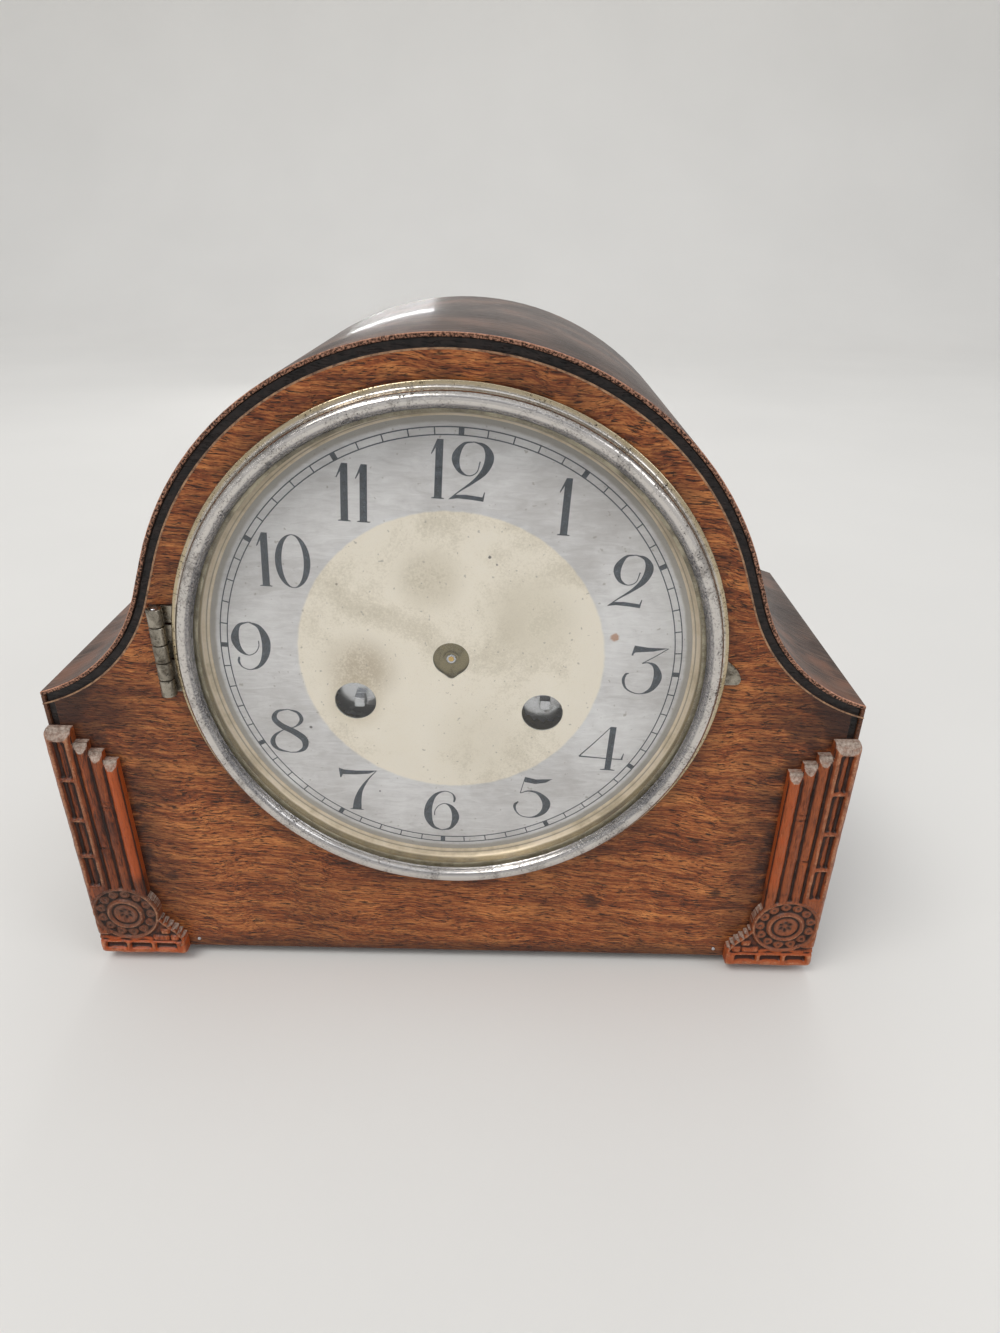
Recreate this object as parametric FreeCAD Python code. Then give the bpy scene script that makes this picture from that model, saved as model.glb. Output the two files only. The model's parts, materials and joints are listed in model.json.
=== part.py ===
import FreeCAD, Part
import math
import os

# Round-arched wooden mantel clock with swept shoulders, a hinged round bezel and an
# eight day striking movement. Sizes are millimetres. Each piece is drawn from the middle
# of the dial: x to the right, y from the face of the front board to the back, z up.

# Case
case_width = 254.4
case_depth = 112.0
arch_border = 11.2
arch_half_angle = 70.0
flank_length = 12.5
sweep_end_angle = 16.0
dial_above_base = 117.4
board_thick = 9.0
back_thick = 8.0
cover_lip = 1.2
cover_wall = 3.6
side_wall = 8.0
base_thick = 8.0
edge_band = 2.6
edge_band_depth = 1.0
overrun = 5.0
bar_sides = 8
hexagon_sides = 6
hole_sides = 12
drum_sides = 24
foot_height = 4.0
foot_width = 18.0
foot_inset = 18.0
block_side = 14.0
block_height = 40.0

# Back door
door_half_width = 62.0
door_bottom = -84.0
door_top = 62.0
door_corner_radius = 30.0
door_thick = 5.0
door_overlap = 6.0
door_hinge_radius = 2.2
door_hinge_length = 24.0
door_hinge_spread = 96.0
door_pin_radius = 0.9
leaf_thick = 1.0
leaf_width = 11.0
button_width = 8.0
button_thick = 2.5
button_length = 16.0
button_screw_radius = 1.6

# Dial, its sloping surround and the bezel
dial_radius = 75.6
dial_seat_gap = 1.2
dial_opening_radius = dial_radius + dial_seat_gap
dial_thick = 0.6
dial_depth = 3.5
dial_hidden_edge = 2.6
dial_edge_radius = dial_radius - dial_hidden_edge
slope_wall = 0.5
surround_overlap = 2.2
surround_radius = dial_opening_radius + surround_overlap
surround_flange = 0.4
dial_centre_hole = 5.7
dial_winding_hole = 6.5
dial_pin_radius = 0.8
dial_pin_length = 6.0
dial_pin_head = 0.15
bezel_gap = 0.3
bezel_foot = 0.9
roll_inner_step = 0.8
roll_width = 4.0
bezel_border = 2.1
roll_height = 6.2
roll_foot = 2.8
roll_face = 1.6
lip_under = 3.4
glass_ledge = 1.1
glass_clearance = 0.2
glass_thick = 1.5
glass_rise = 5.0
retainer_thick = 0.5
retainer_width = 2.2
hinge_radius = 2.75
hinge_offset = 3.1
hinge_height = 2.5
hinge_middle_z = 3.5
hinge_length = 29.0
hinge_knuckles = 5
knuckle_gap = 0.15
hinge_pin_radius = 1.2
hinge_leaf_thick = 0.5
hinge_leaf_reach = 6.0
pin_clearance = 0.06
tab_radius = 5.0
tab_offset = 0.1
tab_thick = 0.5
tab_root = 4.0

# Corner ornaments
ornament_plate = 2.1
ornament_height = 4.6
bar_width = 7.8
bar_top = -24.0
bar_frame = 1.6
bar_recess = 0.8
bar_panels = 4
panel_edge_share = 0.9
reed_width = 4.1
reed_count = 3
reed_first_drop = 5.0
reed_drop = 3.3
roundel_radius = 11.6
roundel_inset = 11.4
roundel_rise = 18.0
roundel_rim = 1.5
roundel_button_radius = 3.7
roundel_floor = 1.6
block_width = 30.2
block_bar_height = 5.4
block_panels = 3
step_count = 3
step_width = 2.4
step_rise = 3.0
brad_radius = 0.7
brad_inset = 34.0
brad_rise = 3.4
brad_length = 7.0

# Movement frame
plate_half_width = 56.0
plate_bottom = -46.0
plate_top = 54.0
plate_thick = 1.8
plate_space = 30.0
plate_corner = 6.0
strap_thick = 1.5
strap_width = 11.0
strap_screw_margin = 5.2
strap_end_margin = 5.0
strap_start_margin = 6.0
pillar_radius = 2.6
pillar_inset = 8.0
pillar_nut_radius = 4.0
pillar_nut_thick = 2.4
wood_screw_head = 3.2
wood_screw_head_thick = 1.6
wood_screw_length = 6.0
arbor_radius = 0.85
stud_radius = 0.9
arbor_clearance = 0.06
end_shake = 0.2
seat_gap = 0.3

# Wheels: places are measured from the middle of the dial
tooth_addendum_share = 0.8
leaf_addendum_share = 0.7
dedendum_share = 1.3
leaf_width_share = 0.1
barrel_x = 29.2
barrel_z = -16.6
barrel_radius = 20.5
barrel_length = 17.0
great_teeth = 36
great_pinion_leaves = 6
great_module = 1.286
great_wheel_from = 3.0
wheel_thick = 1.6
winding_arbor_radius = 2.4
square_side = 3.2
square_setback = 1.3
ratchet_radius = 8.6
ratchet_depth = 1.3
ratchet_teeth = 16
ratchet_thick = 1.4
ratchet_rake_share = 0.15
click_reach = 6.0
click_bearing = 62.0
click_nose_bearing = 22.0
click_thick = 1.4
click_width = 3.4
click_screw_head = 2.0
click_screw_head_thick = 0.8
second_teeth = 48
centre_pinion_leaves = 8
second_module = 0.625
third_teeth = 72
third_pinion_leaves = 6
third_module = 0.42
escape_driver_teeth = 66
escape_pinion_leaves = 6
escape_module = 0.42
escape_teeth = 40
escape_radius = 10.6
escape_tooth_depth = 1.5
escape_hook_share = 0.3
motion_pinion_leaves = 8
minute_teeth = 24
minute_module = 0.625
hour_teeth = 32
hour_module = 0.5
hour_thick = 1.2
strike_second_teeth = 36
pin_pinion_leaves = 6
strike_second_module = 0.72
pin_wheel_teeth = 42
warning_pinion_leaves = 6
pin_wheel_module = 0.5
warning_teeth = 36
fly_pinion_leaves = 6
warning_module = 0.46
pin_wheel_bearing = 136.0
warning_bearing = 75.0
fly_bearing = 120.0
lifting_pins = 6
lifting_pin_radius = 0.6
lifting_pin_circle = 7.6
lifting_pin_length = 2.4
fly_half_width = 6.6
fly_length = 10.0
fly_thick = 0.5
pipe_wall = 0.7
arbor_end_setback = 0.4

# Escapement and pendulum
anchor_height = 14.4
pallet_bearing = 40.0
pallet_clearance = 1.2
pallet_width = 2.0
pallet_thick = 2.0
crutch_length = 25.0
crutch_width = 2.2
crutch_thick = 1.2
fork_gap = 0.8
fork_prong = 1.0
fork_length = 4.0
cock_width = 12.0
cock_thick = 1.6
cock_reach = 9.0
spring_width = 3.0
spring_thick = 0.15
spring_length = 10.0
spring_top_gap = 0.15
clip_width = 5.0
clip_thick = 1.8
clip_height = 4.0
cock_rise = 8.0
cock_foot_drop = 2.6
pendulum_length = 115.5
rod_radius = 1.0
bob_radius = 14.0
bob_thick = 6.0
bob_rim_share = 0.3
bob_face_share = 0.55
bob_hole_clearance = 0.05
rating_nut_radius = 3.2
rating_nut_thick = 2.0

# Hammer and gong
hammer_x = -47.0
hammer_z = 4.0
hammer_tail_width = 2.0
hammer_wire_radius = 0.9
hammer_head_radius = 4.0
hammer_head_length = 9.0
hammer_gap = 1.5
gong_x = 14.0
gong_z = -58.0
gong_radius = 33.0
gong_pitch = 6.0
gong_turns = 3
gong_sides = 16
gong_band = 1.6
gong_depth = 2.4
gong_behind_plate = 16.0
gong_post_width = 16.0
gong_post_depth = 10.0
gong_foot_height = 6.0
gong_foot_share = 0.58
gong_stud_radius = 2.6

# Places that follow from the sizes above
lip_radius = dial_radius
seat_radius = lip_radius + glass_ledge
glass_radius = seat_radius - glass_clearance
roll_inner_radius = lip_radius + roll_inner_step
roll_outer_radius = roll_inner_radius + roll_width
bezel_radius = roll_outer_radius + bezel_border
arch_radius = bezel_radius + arch_border
strap_circle = dial_opening_radius + strap_screw_margin
strap_end_circle = strap_circle + strap_end_margin
hinge_centre_x = -(bezel_radius + hinge_offset)
tab_centre_x = bezel_radius + tab_offset
half_width = case_width / 2
arch_angle = math.radians(arch_half_angle)
sweep_angle = math.radians(sweep_end_angle)
flank_start_x = arch_radius * math.sin(arch_angle)
flank_start_z = arch_radius * math.cos(arch_angle)
flank_end_x = flank_start_x + flank_length * math.cos(arch_angle)
flank_end_z = flank_start_z - flank_length * math.sin(arch_angle)
sweep_radius = (half_width - flank_end_x) / (math.sin(arch_angle) - math.sin(sweep_angle))
sweep_centre_x = flank_end_x + sweep_radius * math.sin(arch_angle)
sweep_centre_z = flank_end_z + sweep_radius * math.cos(arch_angle)
case_bottom = -dial_above_base
back_face = case_depth
back_inner = case_depth - back_thick
dial_front = dial_depth
dial_back = dial_depth + dial_thick
plate_front = board_thick + strap_thick
frame_front = plate_front + plate_thick
frame_back = frame_front + plate_space
plate_rear = frame_back + plate_thick
great_front = frame_front + great_wheel_from
drum_front = great_front + wheel_thick + seat_gap
rear_wheels = frame_back - wheel_thick * 3
middle_wheels = frame_front + plate_space / 3
front_wheels = frame_front + wheel_thick / 2
origin = (0.0, 0.0)


def vec(x, y, z):
    return FreeCAD.Vector(x, y, z)


def polar(radius, bearing):
    """Place at a bearing in degrees, counted from +x towards +z."""
    turn = math.radians(bearing)
    return radius * math.cos(turn), radius * math.sin(turn)


def beyond(place, distance, bearing):
    step = polar(distance, bearing)
    return place[0] + step[0], place[1] + step[1]


def block(x0, x1, y0, y1, z0, z1):
    return Part.makeBox(x1 - x0, y1 - y0, z1 - z0, vec(x0, y0, z0))


def rod(place, radius, y0, y1):
    """Round bar along y through a place in the x, z plane."""
    return Part.makeCylinder(radius, y1 - y0, vec(place[0], y0, place[1]), vec(0, 1, 0))


def ring_points(radius, sides):
    return [polar(radius, 360 / sides * side) for side in range(sides)]


def at_place(points, place):
    return [(x + place[0], z + place[1]) for x, z in points]


def bar(place, radius, y0, y1, sides=bar_sides):
    """Small bar along y, drawn with few sides."""
    return prism(at_place(ring_points(radius, sides), place), y0, y1)


def bore(place, radius, y0, y1):
    """Running hole for a small bar: its flats stand one clearance off the bar."""
    flat = (radius + arbor_clearance) / math.cos(math.pi / hole_sides)
    return bar(place, flat, y0 - overrun, y1 + overrun, hole_sides)


def stem(x, y, radius, z0, z1, clearance=0):
    """Small upright bar, or the hole for one when a clearance is given."""
    reach = (radius + clearance) / math.cos(math.pi / hole_sides) if clearance else radius
    return slanted(vec(x, y, z0), vec(x, y, z1), reach)


def slanted(start, end, radius):
    """Small bar from one point to another."""
    run = end - start
    across = run.cross(vec(0, 1, 0))
    across.normalize()
    along = run.cross(across)
    along.normalize()
    corners = [start + across * u + along * v for u, v in ring_points(radius, hole_sides)]
    face = Part.Face(Part.makePolygon(corners + corners[:1]))
    return face.extrude(run)


def tube(place, outer, inner, y0, y1):
    return rod(place, outer, y0, y1).cut(rod(place, inner, y0 - overrun, y1 + overrun))


def upright(x, y, radius, z0, z1):
    return Part.makeCylinder(radius, z1 - z0, vec(x, y, z0), vec(0, 0, 1))


def prism(points, y0, y1):
    """Straight-sided outline in the x, z plane, carried from y0 to y1."""
    corners = [vec(x, y0, z) for x, z in points]
    face = Part.Face(Part.makePolygon(corners + corners[:1]))
    return face.extrude(vec(0, y1 - y0, 0))


def turned(place, profile, arcs=()):
    """Ring turned about y. The profile is radius and height pairs, and an arc runs
    through the middle point given for the corner where it starts."""
    middles = dict(arcs)
    edges = []
    for index, (radius, height) in enumerate(profile):
        start = vec(radius, height, 0)
        end = vec(*profile[(index + 1) % len(profile)], 0)
        if index in middles:
            edges.append(Part.Arc(start, vec(*middles[index], 0), end).toShape())
        else:
            edges.append(Part.LineSegment(start, end).toShape())
    face = Part.Face(Part.Wire(edges))
    ring = face.revolve(vec(0, 0, 0), vec(0, 1, 0), 360)
    ring.translate(vec(place[0], 0, place[1]))
    return ring


def joined(shapes):
    shapes = list(shapes)
    whole = shapes[0].fuse(shapes[1:]) if len(shapes) > 1 else shapes[0]
    return whole.removeSplitter()


def mirrored(shape):
    return shape.mirror(vec(0, 0, 0), vec(1, 0, 0))


def save(name, shape):
    """Write a piece, or a group of like pieces, in the frame of the whole clock."""
    solids = shape if isinstance(shape, list) else [shape]
    moved = []
    for solid in solids:
        copy = solid.copy()
        copy.translate(vec(0, -middle_depth, foot_height + dial_above_base))
        moved += copy.Solids
    whole = moved[0] if len(moved) == 1 else Part.makeCompound(moved)
    whole.exportStep("parts/" + name + ".step")


# Outline of the case

def sweep_point(offset, x_end):
    """Point of the concave shoulder, moved in by offset, at a given x."""
    radius = sweep_radius + offset
    turn = math.asin((sweep_centre_x - x_end) / radius)
    return x_end, sweep_centre_z - radius * math.cos(turn), turn


def upper_edges(offset, x_end, y):
    """Arch, two flanks and two shoulders from left to right, moved in by offset."""
    radius = arch_radius - offset
    top = vec(0, y, radius)
    arch_end = (radius * math.sin(arch_angle), radius * math.cos(arch_angle))
    sweep = sweep_radius + offset
    flank_end = (sweep_centre_x - sweep * math.sin(arch_angle),
                 sweep_centre_z - sweep * math.cos(arch_angle))
    end_x, end_z, end_turn = sweep_point(offset, x_end)
    middle = (arch_angle + end_turn) / 2
    sweep_middle = (sweep_centre_x - sweep * math.sin(middle),
                    sweep_centre_z - sweep * math.cos(middle))

    def at(point, side):
        return vec(side * point[0], y, point[1])

    return [
        Part.Arc(at((end_x, end_z), -1), at(sweep_middle, -1), at(flank_end, -1)).toShape(),
        Part.LineSegment(at(flank_end, -1), at(arch_end, -1)).toShape(),
        Part.Arc(at(arch_end, -1), top, at(arch_end, 1)).toShape(),
        Part.LineSegment(at(arch_end, 1), at(flank_end, 1)).toShape(),
        Part.Arc(at(flank_end, 1), at(sweep_middle, 1), at((end_x, end_z), 1)).toShape(),
    ]


def case_region(offset, side_offset, y0, y1, bottom):
    """The case outline moved in by offset above and side_offset at the sides."""
    x_end = half_width - side_offset
    end_z = sweep_point(offset, x_end)[1]
    corners = [vec(x_end, y0, end_z), vec(x_end, y0, bottom),
               vec(-x_end, y0, bottom), vec(-x_end, y0, end_z)]
    sides = [Part.LineSegment(a, b).toShape() for a, b in zip(corners, corners[1:])]
    face = Part.Face(Part.Wire(upper_edges(offset, x_end, y0) + sides))
    return face.extrude(vec(0, y1 - y0, 0))


def cover_band(thick, y0, y1):
    """Bent board that follows the top of the case."""
    outer = upper_edges(0, half_width, y0)
    inner = upper_edges(thick, half_width, y0)
    high = sweep_point(0, half_width)[1]
    low = sweep_point(thick, half_width)[1]
    ends = [Part.LineSegment(vec(side * half_width, y0, high), vec(side * half_width, y0, low))
            for side in (-1, 1)]
    wire = Part.Wire(Part.__sortEdges__(outer + inner + [end.toShape() for end in ends]))
    return Part.Face(wire).extrude(vec(0, y1 - y0, 0))


def arch_cover():
    lip = cover_band(cover_lip, 0, case_depth)
    wall = cover_band(cover_wall, board_thick, back_inner)
    return joined([lip, wall])


def side_panel():
    """Right side: full wall between the boards, a thin lip over their edges."""
    middle = case_region(cover_wall, 0, board_thick, back_inner, case_bottom)
    middle = middle.common(block(half_width - side_wall, half_width + overrun, 0, case_depth,
                                 case_bottom - overrun, arch_radius))
    lips = []
    for y0, y1 in ((0, board_thick), (back_inner, case_depth)):
        lip = case_region(cover_lip, 0, y0, y1, case_bottom)
        lips.append(lip.common(block(half_width - cover_lip, half_width + overrun, y0, y1,
                                     case_bottom - overrun, arch_radius)))
    return joined([middle] + lips)


def front_board():
    board = case_region(cover_lip, cover_lip, 0, board_thick, case_bottom)
    board = board.cut(rod(origin, dial_opening_radius, -overrun, board_thick + overrun))
    inner = case_region(cover_lip + edge_band, cover_lip + edge_band,
                        -overrun, edge_band_depth, case_bottom - overrun)
    band = case_region(-overrun, -overrun, -overrun, edge_band_depth, bar_top).cut(inner)
    board = board.cut(band)
    leaf_x = hinge_centre_x - hinge_radius
    pocket = block(leaf_x, leaf_x + hinge_radius + hinge_leaf_reach,
                   -overrun, hinge_leaf_thick,
                   hinge_middle_z - hinge_length / 2, hinge_middle_z + hinge_length / 2)
    return board.cut(pocket)


def rounded_door(margin, y0, y1):
    """Door outline with round top corners, grown by margin."""
    half = door_half_width + margin
    low = door_bottom - margin
    high = door_top + margin
    radius = door_corner_radius + margin
    body = block(-half, half, y0, y1, low, high - radius)
    crown = block(-(half - radius), half - radius, y0, y1, low, high)
    corners = [rod((side * (half - radius), high - radius), radius, y0, y1) for side in (-1, 1)]
    return joined([body, crown] + corners)


def back_frame():
    frame = case_region(cover_lip, cover_lip, back_inner, back_face, case_bottom)
    return frame.cut(rounded_door(0, back_inner - overrun, back_face + overrun))


door_front = back_face + seat_gap
door_back = door_front + door_thick
door_edge = door_half_width + door_overlap
door_hinge_x = -(door_edge + door_hinge_radius + seat_gap)
door_hinge_y = door_back + leaf_thick - door_hinge_radius
door_middle_z = (door_top + door_bottom) / 2
button_x = door_edge + button_width
button_head_front = door_back + seat_gap + button_thick + arbor_clearance
button_head_back = button_head_front + leaf_thick
glass_front = -lip_under - glass_rise
middle_depth = (glass_front + button_head_back) / 2


def back_door():
    return rounded_door(door_overlap, door_front, door_back)


def door_hinge_zs():
    return [door_middle_z - door_hinge_spread / 2, door_middle_z + door_hinge_spread / 2]


def door_hinges(frame_side):
    """Two lift-off hinges: the frame's leaf has the lower knuckle and the pin, the door's
    leaf the upper knuckle."""
    parts = []
    half = door_hinge_length / 2
    for middle in door_hinge_zs():
        if frame_side:
            knuckle = stem(door_hinge_x, door_hinge_y, door_hinge_radius,
                           middle - half, middle - knuckle_gap)
            leaf = block(door_hinge_x - leaf_width, door_hinge_x,
                         back_face, back_face + leaf_thick, middle - half, middle - knuckle_gap)
            web = block(door_hinge_x - leaf_thick, door_hinge_x, back_face, door_hinge_y,
                        middle - half, middle - knuckle_gap)
            pin = stem(door_hinge_x, door_hinge_y, door_pin_radius, middle - half, middle + half)
            parts.append(joined([knuckle, leaf, web, pin]))
        else:
            knuckle = stem(door_hinge_x, door_hinge_y, door_hinge_radius, middle, middle + half)
            leaf = block(door_hinge_x, door_hinge_x + leaf_width + door_overlap,
                         door_back, door_back + leaf_thick, middle, middle + half)
            hole = stem(door_hinge_x, door_hinge_y, door_pin_radius,
                        middle - overrun, middle + half + overrun, pin_clearance)
            parts.append(joined([knuckle, leaf]).cut(hole))
    return parts


def turn_button():
    """Turn button on the frame: it stands upright, clear of the door, until it is turned."""
    low = door_back + seat_gap
    half = button_width / 2
    arm = block(-half, half, low, low + button_thick, 0, button_length)
    eye = bar(origin, half, low, low + button_thick, hole_sides)
    button = joined([arm, eye]).cut(bore(origin, button_screw_radius, 0, door_back))
    button.translate(vec(button_x, 0, door_middle_z))
    return button


def button_screw():
    """Screw on a square packing block that brings the button up to the door."""
    place = (button_x, door_middle_z)
    half = button_width / 2
    spacer = block(button_x - half, button_x + half, back_face, door_back,
                   door_middle_z - half, door_middle_z + half)
    shank = bar(place, button_screw_radius, door_back, button_head_front)
    head = bar(place, button_screw_radius * 2, button_head_front, button_head_back, hole_sides)
    return joined([spacer, shank, head])


def feet():
    """Square pads under the corners."""
    x = half_width - foot_inset
    half = foot_width / 2
    spots = [(side * x, y) for side in (-1, 1) for y in (foot_inset, case_depth - foot_inset)]
    return [block(x - half, x + half, y - half, y + half, case_bottom - foot_height, case_bottom)
            for x, y in spots]


def base_board():
    inner = half_width - side_wall
    return block(-inner, inner, board_thick, back_inner, case_bottom, case_bottom + base_thick)


def glue_blocks():
    """Square blocks glued up the corners between the boards and the sides."""
    inner = half_width - side_wall
    low = case_bottom + base_thick
    blocks = []
    for side in (-1, 1):
        for y0 in (board_thick, back_inner - block_side):
            x0, x1 = sorted((side * inner, side * (inner - block_side)))
            blocks.append(block(x0, x1, y0, y0 + block_side, low, low + block_height))
    return blocks


# Corner ornaments

roundel_place = (half_width - roundel_inset, case_bottom + roundel_rise)


def panel_row(x0, x1, z0, z1, count, along_z):
    """Sunk panels with an even border, in a row."""
    tools = []
    length = (z1 - z0) if along_z else (x1 - x0)
    pitch = (length - bar_frame) / count
    for index in range(count):
        start = bar_frame + index * pitch
        end = start + pitch - bar_frame
        box = (x0 + bar_frame, x1 - bar_frame, z0 + start, z0 + end)
        if not along_z:
            box = (x0 + start, x0 + end, z0 + bar_frame * panel_edge_share, z1 - bar_frame * panel_edge_share)
        tools.append(block(box[0], box[1], -ornament_height - overrun,
                           bar_recess - ornament_height, box[2], box[3]))
    return tools


def corner_ornament():
    """Right ornament: a panelled bar, stepped reeds, a roundel and a stepped foot."""
    top = -ornament_height
    outer = half_width
    bar_x = outer - bar_width
    roundel_top = roundel_place[1] + roundel_radius / 2
    stile = block(bar_x, outer, top, 0, case_bottom, bar_top)
    panel_low = roundel_place[1] + roundel_radius
    stile = stile.cut(joined(panel_row(bar_x, outer, panel_low, bar_top, bar_panels, True)))
    pieces = [stile]
    for index in range(reed_count):
        x1 = bar_x - index * reed_width
        reed_top = bar_top - reed_first_drop - index * reed_drop
        plate = block(x1 - reed_width, x1, -ornament_plate, 0, roundel_top, reed_top)
        reed = Part.makeCylinder(reed_width / 2, reed_top - roundel_top,
                                 vec(x1 - reed_width / 2, -ornament_plate, roundel_top),
                                 vec(0, 0, 1))
        pieces += [plate, reed]
    foot_x = outer - block_width
    bar_z = case_bottom + block_bar_height
    foot = block(foot_x, outer, top, 0, case_bottom, bar_z)
    foot = foot.cut(joined(panel_row(foot_x, outer, case_bottom, bar_z, block_panels, False)))
    pieces.append(foot)
    for index in range(step_count):
        z0 = bar_z + index * step_rise
        x0 = foot_x + (index + 1) * step_width
        height = ornament_height - (index + 1) * bar_recess / 2
        pieces.append(block(x0, outer - bar_width, -height, 0, z0, z0 + step_rise))
    whole = joined(pieces)
    boss = bar(roundel_place, roundel_radius, top, 0, drum_sides)
    dish = bar(roundel_place, roundel_radius - roundel_rim, top - overrun, -roundel_floor,
               drum_sides)
    button = bar(roundel_place, roundel_button_radius, top, -roundel_floor, hole_sides)
    whole = joined([joined([whole, boss]).cut(dish), button])
    limit = block(0, half_width, -ornament_height - overrun, overrun, case_bottom, 0)
    return whole.common(limit)


def board_brads():
    x = half_width - brad_inset
    z = case_bottom + brad_rise
    return [bar((side * x, z), brad_radius, -seat_gap, brad_length) for side in (-1, 1)]


# Dial and bezel

def dial_plate():
    plate = rod(origin, dial_radius, dial_front, dial_back)
    plate = plate.cut(rod(origin, dial_centre_hole, 0, dial_back + overrun))
    for side in (-1, 1):
        plate = plate.cut(rod((side * barrel_x, barrel_z), dial_winding_hole,
                              0, dial_back + overrun))
    return plate


def dial_surround():
    """Pressed ring: a flange on the board and a slope down to the dial."""
    inner = dial_edge_radius
    throat = dial_opening_radius - slope_wall - seat_gap
    profile = [(inner, dial_front), (inner, dial_front - slope_wall),
               (throat, -surround_flange), (surround_radius, -surround_flange),
               (surround_radius, 0), (throat + slope_wall, 0),
               (inner + slope_wall, dial_front)]
    return turned(origin, profile)


def dial_pins():
    """Flat-headed pins through the surround's flange, under the bezel."""
    middle = (surround_radius + dial_opening_radius) / 2
    pins = []
    for bearing in (45, 135, 225, 315):
        pins.append(bar(polar(middle, bearing), dial_pin_radius,
                        -surround_flange - dial_pin_head, dial_pin_length))
    return pins


bezel_under = -(surround_flange + bezel_gap + hinge_leaf_thick)
hinge_low = hinge_middle_z - hinge_length / 2


def bezel_ring():
    """Turned ring: a flange, a high roll with a bevelled crest and a lip over the glass."""
    crest = (roll_outer_radius + roll_inner_radius) / 2
    profile = [(bezel_radius, bezel_under), (bezel_radius, bezel_under - bezel_foot),
               (roll_outer_radius, -roll_foot),
               (crest + roll_face / 2, -roll_height), (crest - roll_face / 2, -roll_height),
               (lip_radius, -lip_under), (seat_radius, -lip_under),
               (seat_radius, bezel_under)]
    return turned(origin, profile)


def bezel_glass():
    """Domed glass: a shallow cap of even thickness, held behind the lip."""
    edge_front = -lip_under
    edge_back = edge_front + glass_thick
    dome = (glass_radius ** 2 + glass_rise ** 2) / (2 * glass_rise)
    centre_y = edge_front - glass_rise + dome
    half = math.asin(glass_radius / dome) / 2
    front_middle = (dome * math.sin(half), centre_y - dome * math.cos(half))
    back_middle = (front_middle[0], front_middle[1] + glass_thick)
    profile = [(glass_radius, edge_back), (glass_radius, edge_front),
               (0, edge_front - glass_rise), (0, edge_back - glass_rise)]
    return turned(origin, profile, [(1, front_middle), (3, back_middle)])


def glass_retainer():
    back = -lip_under + glass_thick
    return tube(origin, seat_radius, seat_radius - retainer_width, back, back + retainer_thick)


def knuckle_spans(first):
    step = hinge_length / hinge_knuckles
    spans = []
    for index in range(first, hinge_knuckles, 2):
        z0 = hinge_low + index * step + (knuckle_gap if index else 0)
        z1 = hinge_low + (index + 1) * step - (knuckle_gap if index < hinge_knuckles - 1 else 0)
        spans.append((z0, z1))
    return spans


def hinge_bore():
    return stem(hinge_centre_x, -hinge_height, hinge_pin_radius,
                hinge_low - overrun, hinge_low + hinge_length + overrun, pin_clearance)


def board_hinge_leaf():
    """Leaf let into the board, with three knuckles that grip the pin."""
    leaf = block(hinge_centre_x + hinge_radius + seat_gap, hinge_centre_x + hinge_leaf_reach,
                 0, hinge_leaf_thick, hinge_low, hinge_low + hinge_length)
    knuckles = []
    for z0, z1 in knuckle_spans(0):
        knuckles.append(stem(hinge_centre_x, -hinge_height, hinge_radius, z0, z1))
        knuckles.append(block(hinge_centre_x, hinge_centre_x + hinge_leaf_reach,
                              0, hinge_leaf_thick, z0, z1))
    pin = stem(hinge_centre_x, -hinge_height, hinge_pin_radius, hinge_low,
               hinge_low + hinge_length)
    return joined([leaf] + knuckles).cut(pin)


def bezel_hinge_leaf():
    """Leaf soldered behind the bezel's flange, with the two inner knuckles."""
    y1 = bezel_under + hinge_leaf_thick
    spans = knuckle_spans(1)
    bridge = block(hinge_centre_x + hinge_radius + seat_gap, hinge_centre_x + hinge_leaf_reach,
                   bezel_under, y1, spans[0][0], spans[-1][1])
    pieces = [bridge]
    for z0, z1 in spans:
        pieces.append(stem(hinge_centre_x, -hinge_height, hinge_radius, z0, z1))
        pieces.append(block(hinge_centre_x, hinge_centre_x + hinge_leaf_reach,
                            bezel_under, y1, z0, z1))
    return joined(pieces).cut(hinge_bore())


def bezel_hinge_pin():
    return stem(hinge_centre_x, -hinge_height, hinge_pin_radius,
                hinge_low, hinge_low + hinge_length)


def bezel_thumb_tab():
    """Round-ended ear under the right of the bezel, for the thumb."""
    y1 = bezel_under + tab_thick
    ear = rod((tab_centre_x, 0), tab_radius, bezel_under, y1)
    root = block(tab_centre_x - tab_root, tab_centre_x, bezel_under, y1,
                 -tab_radius, tab_radius)
    return joined([ear, root])


# Movement: wheels

def tooth_points(teeth, module, phase, leaf):
    """Outline of a wheel. A wheel's teeth come to a point, a pinion's leaves are flat."""
    pitch_radius = teeth * module / 2
    tip = pitch_radius + module * (leaf_addendum_share if leaf else tooth_addendum_share)
    root = pitch_radius - module * dedendum_share
    shares = ((tip, -leaf_width_share), (tip, leaf_width_share), (root, 0.5)) if leaf else (
        (tip, 0.0), (root, 0.5))
    step = 360 / teeth
    return [polar(radius, phase + (index + share) * step)
            for index in range(teeth) for radius, share in shares]


def wheel(place, teeth, module, phase, y0):
    points = tooth_points(teeth, module, phase, False)
    return prism(at_place(points, place), y0, y0 + wheel_thick)


def pinion(place, leaves, module, phase, y0, y1):
    return prism(at_place(tooth_points(leaves, module, phase, True), place), y0, y1)


def arbor(place):
    """Arbor from the front plate's inner face through the back plate's hole."""
    return bar(place, arbor_radius, frame_front + end_shake, plate_rear)


def mesh_phase(from_teeth, from_phase, bearing, to_teeth):
    """Phase of a wheel whose gap faces the other wheel's tooth across a bearing."""
    lead = (from_phase - bearing) * from_teeth / to_teeth
    return bearing + 180 - lead + 180 / to_teeth


def distance(first, second):
    return math.hypot(second[0] - first[0], second[1] - first[1])


def bearing_of(first, second):
    return math.degrees(math.atan2(second[1] - first[1], second[0] - first[0]))


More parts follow.
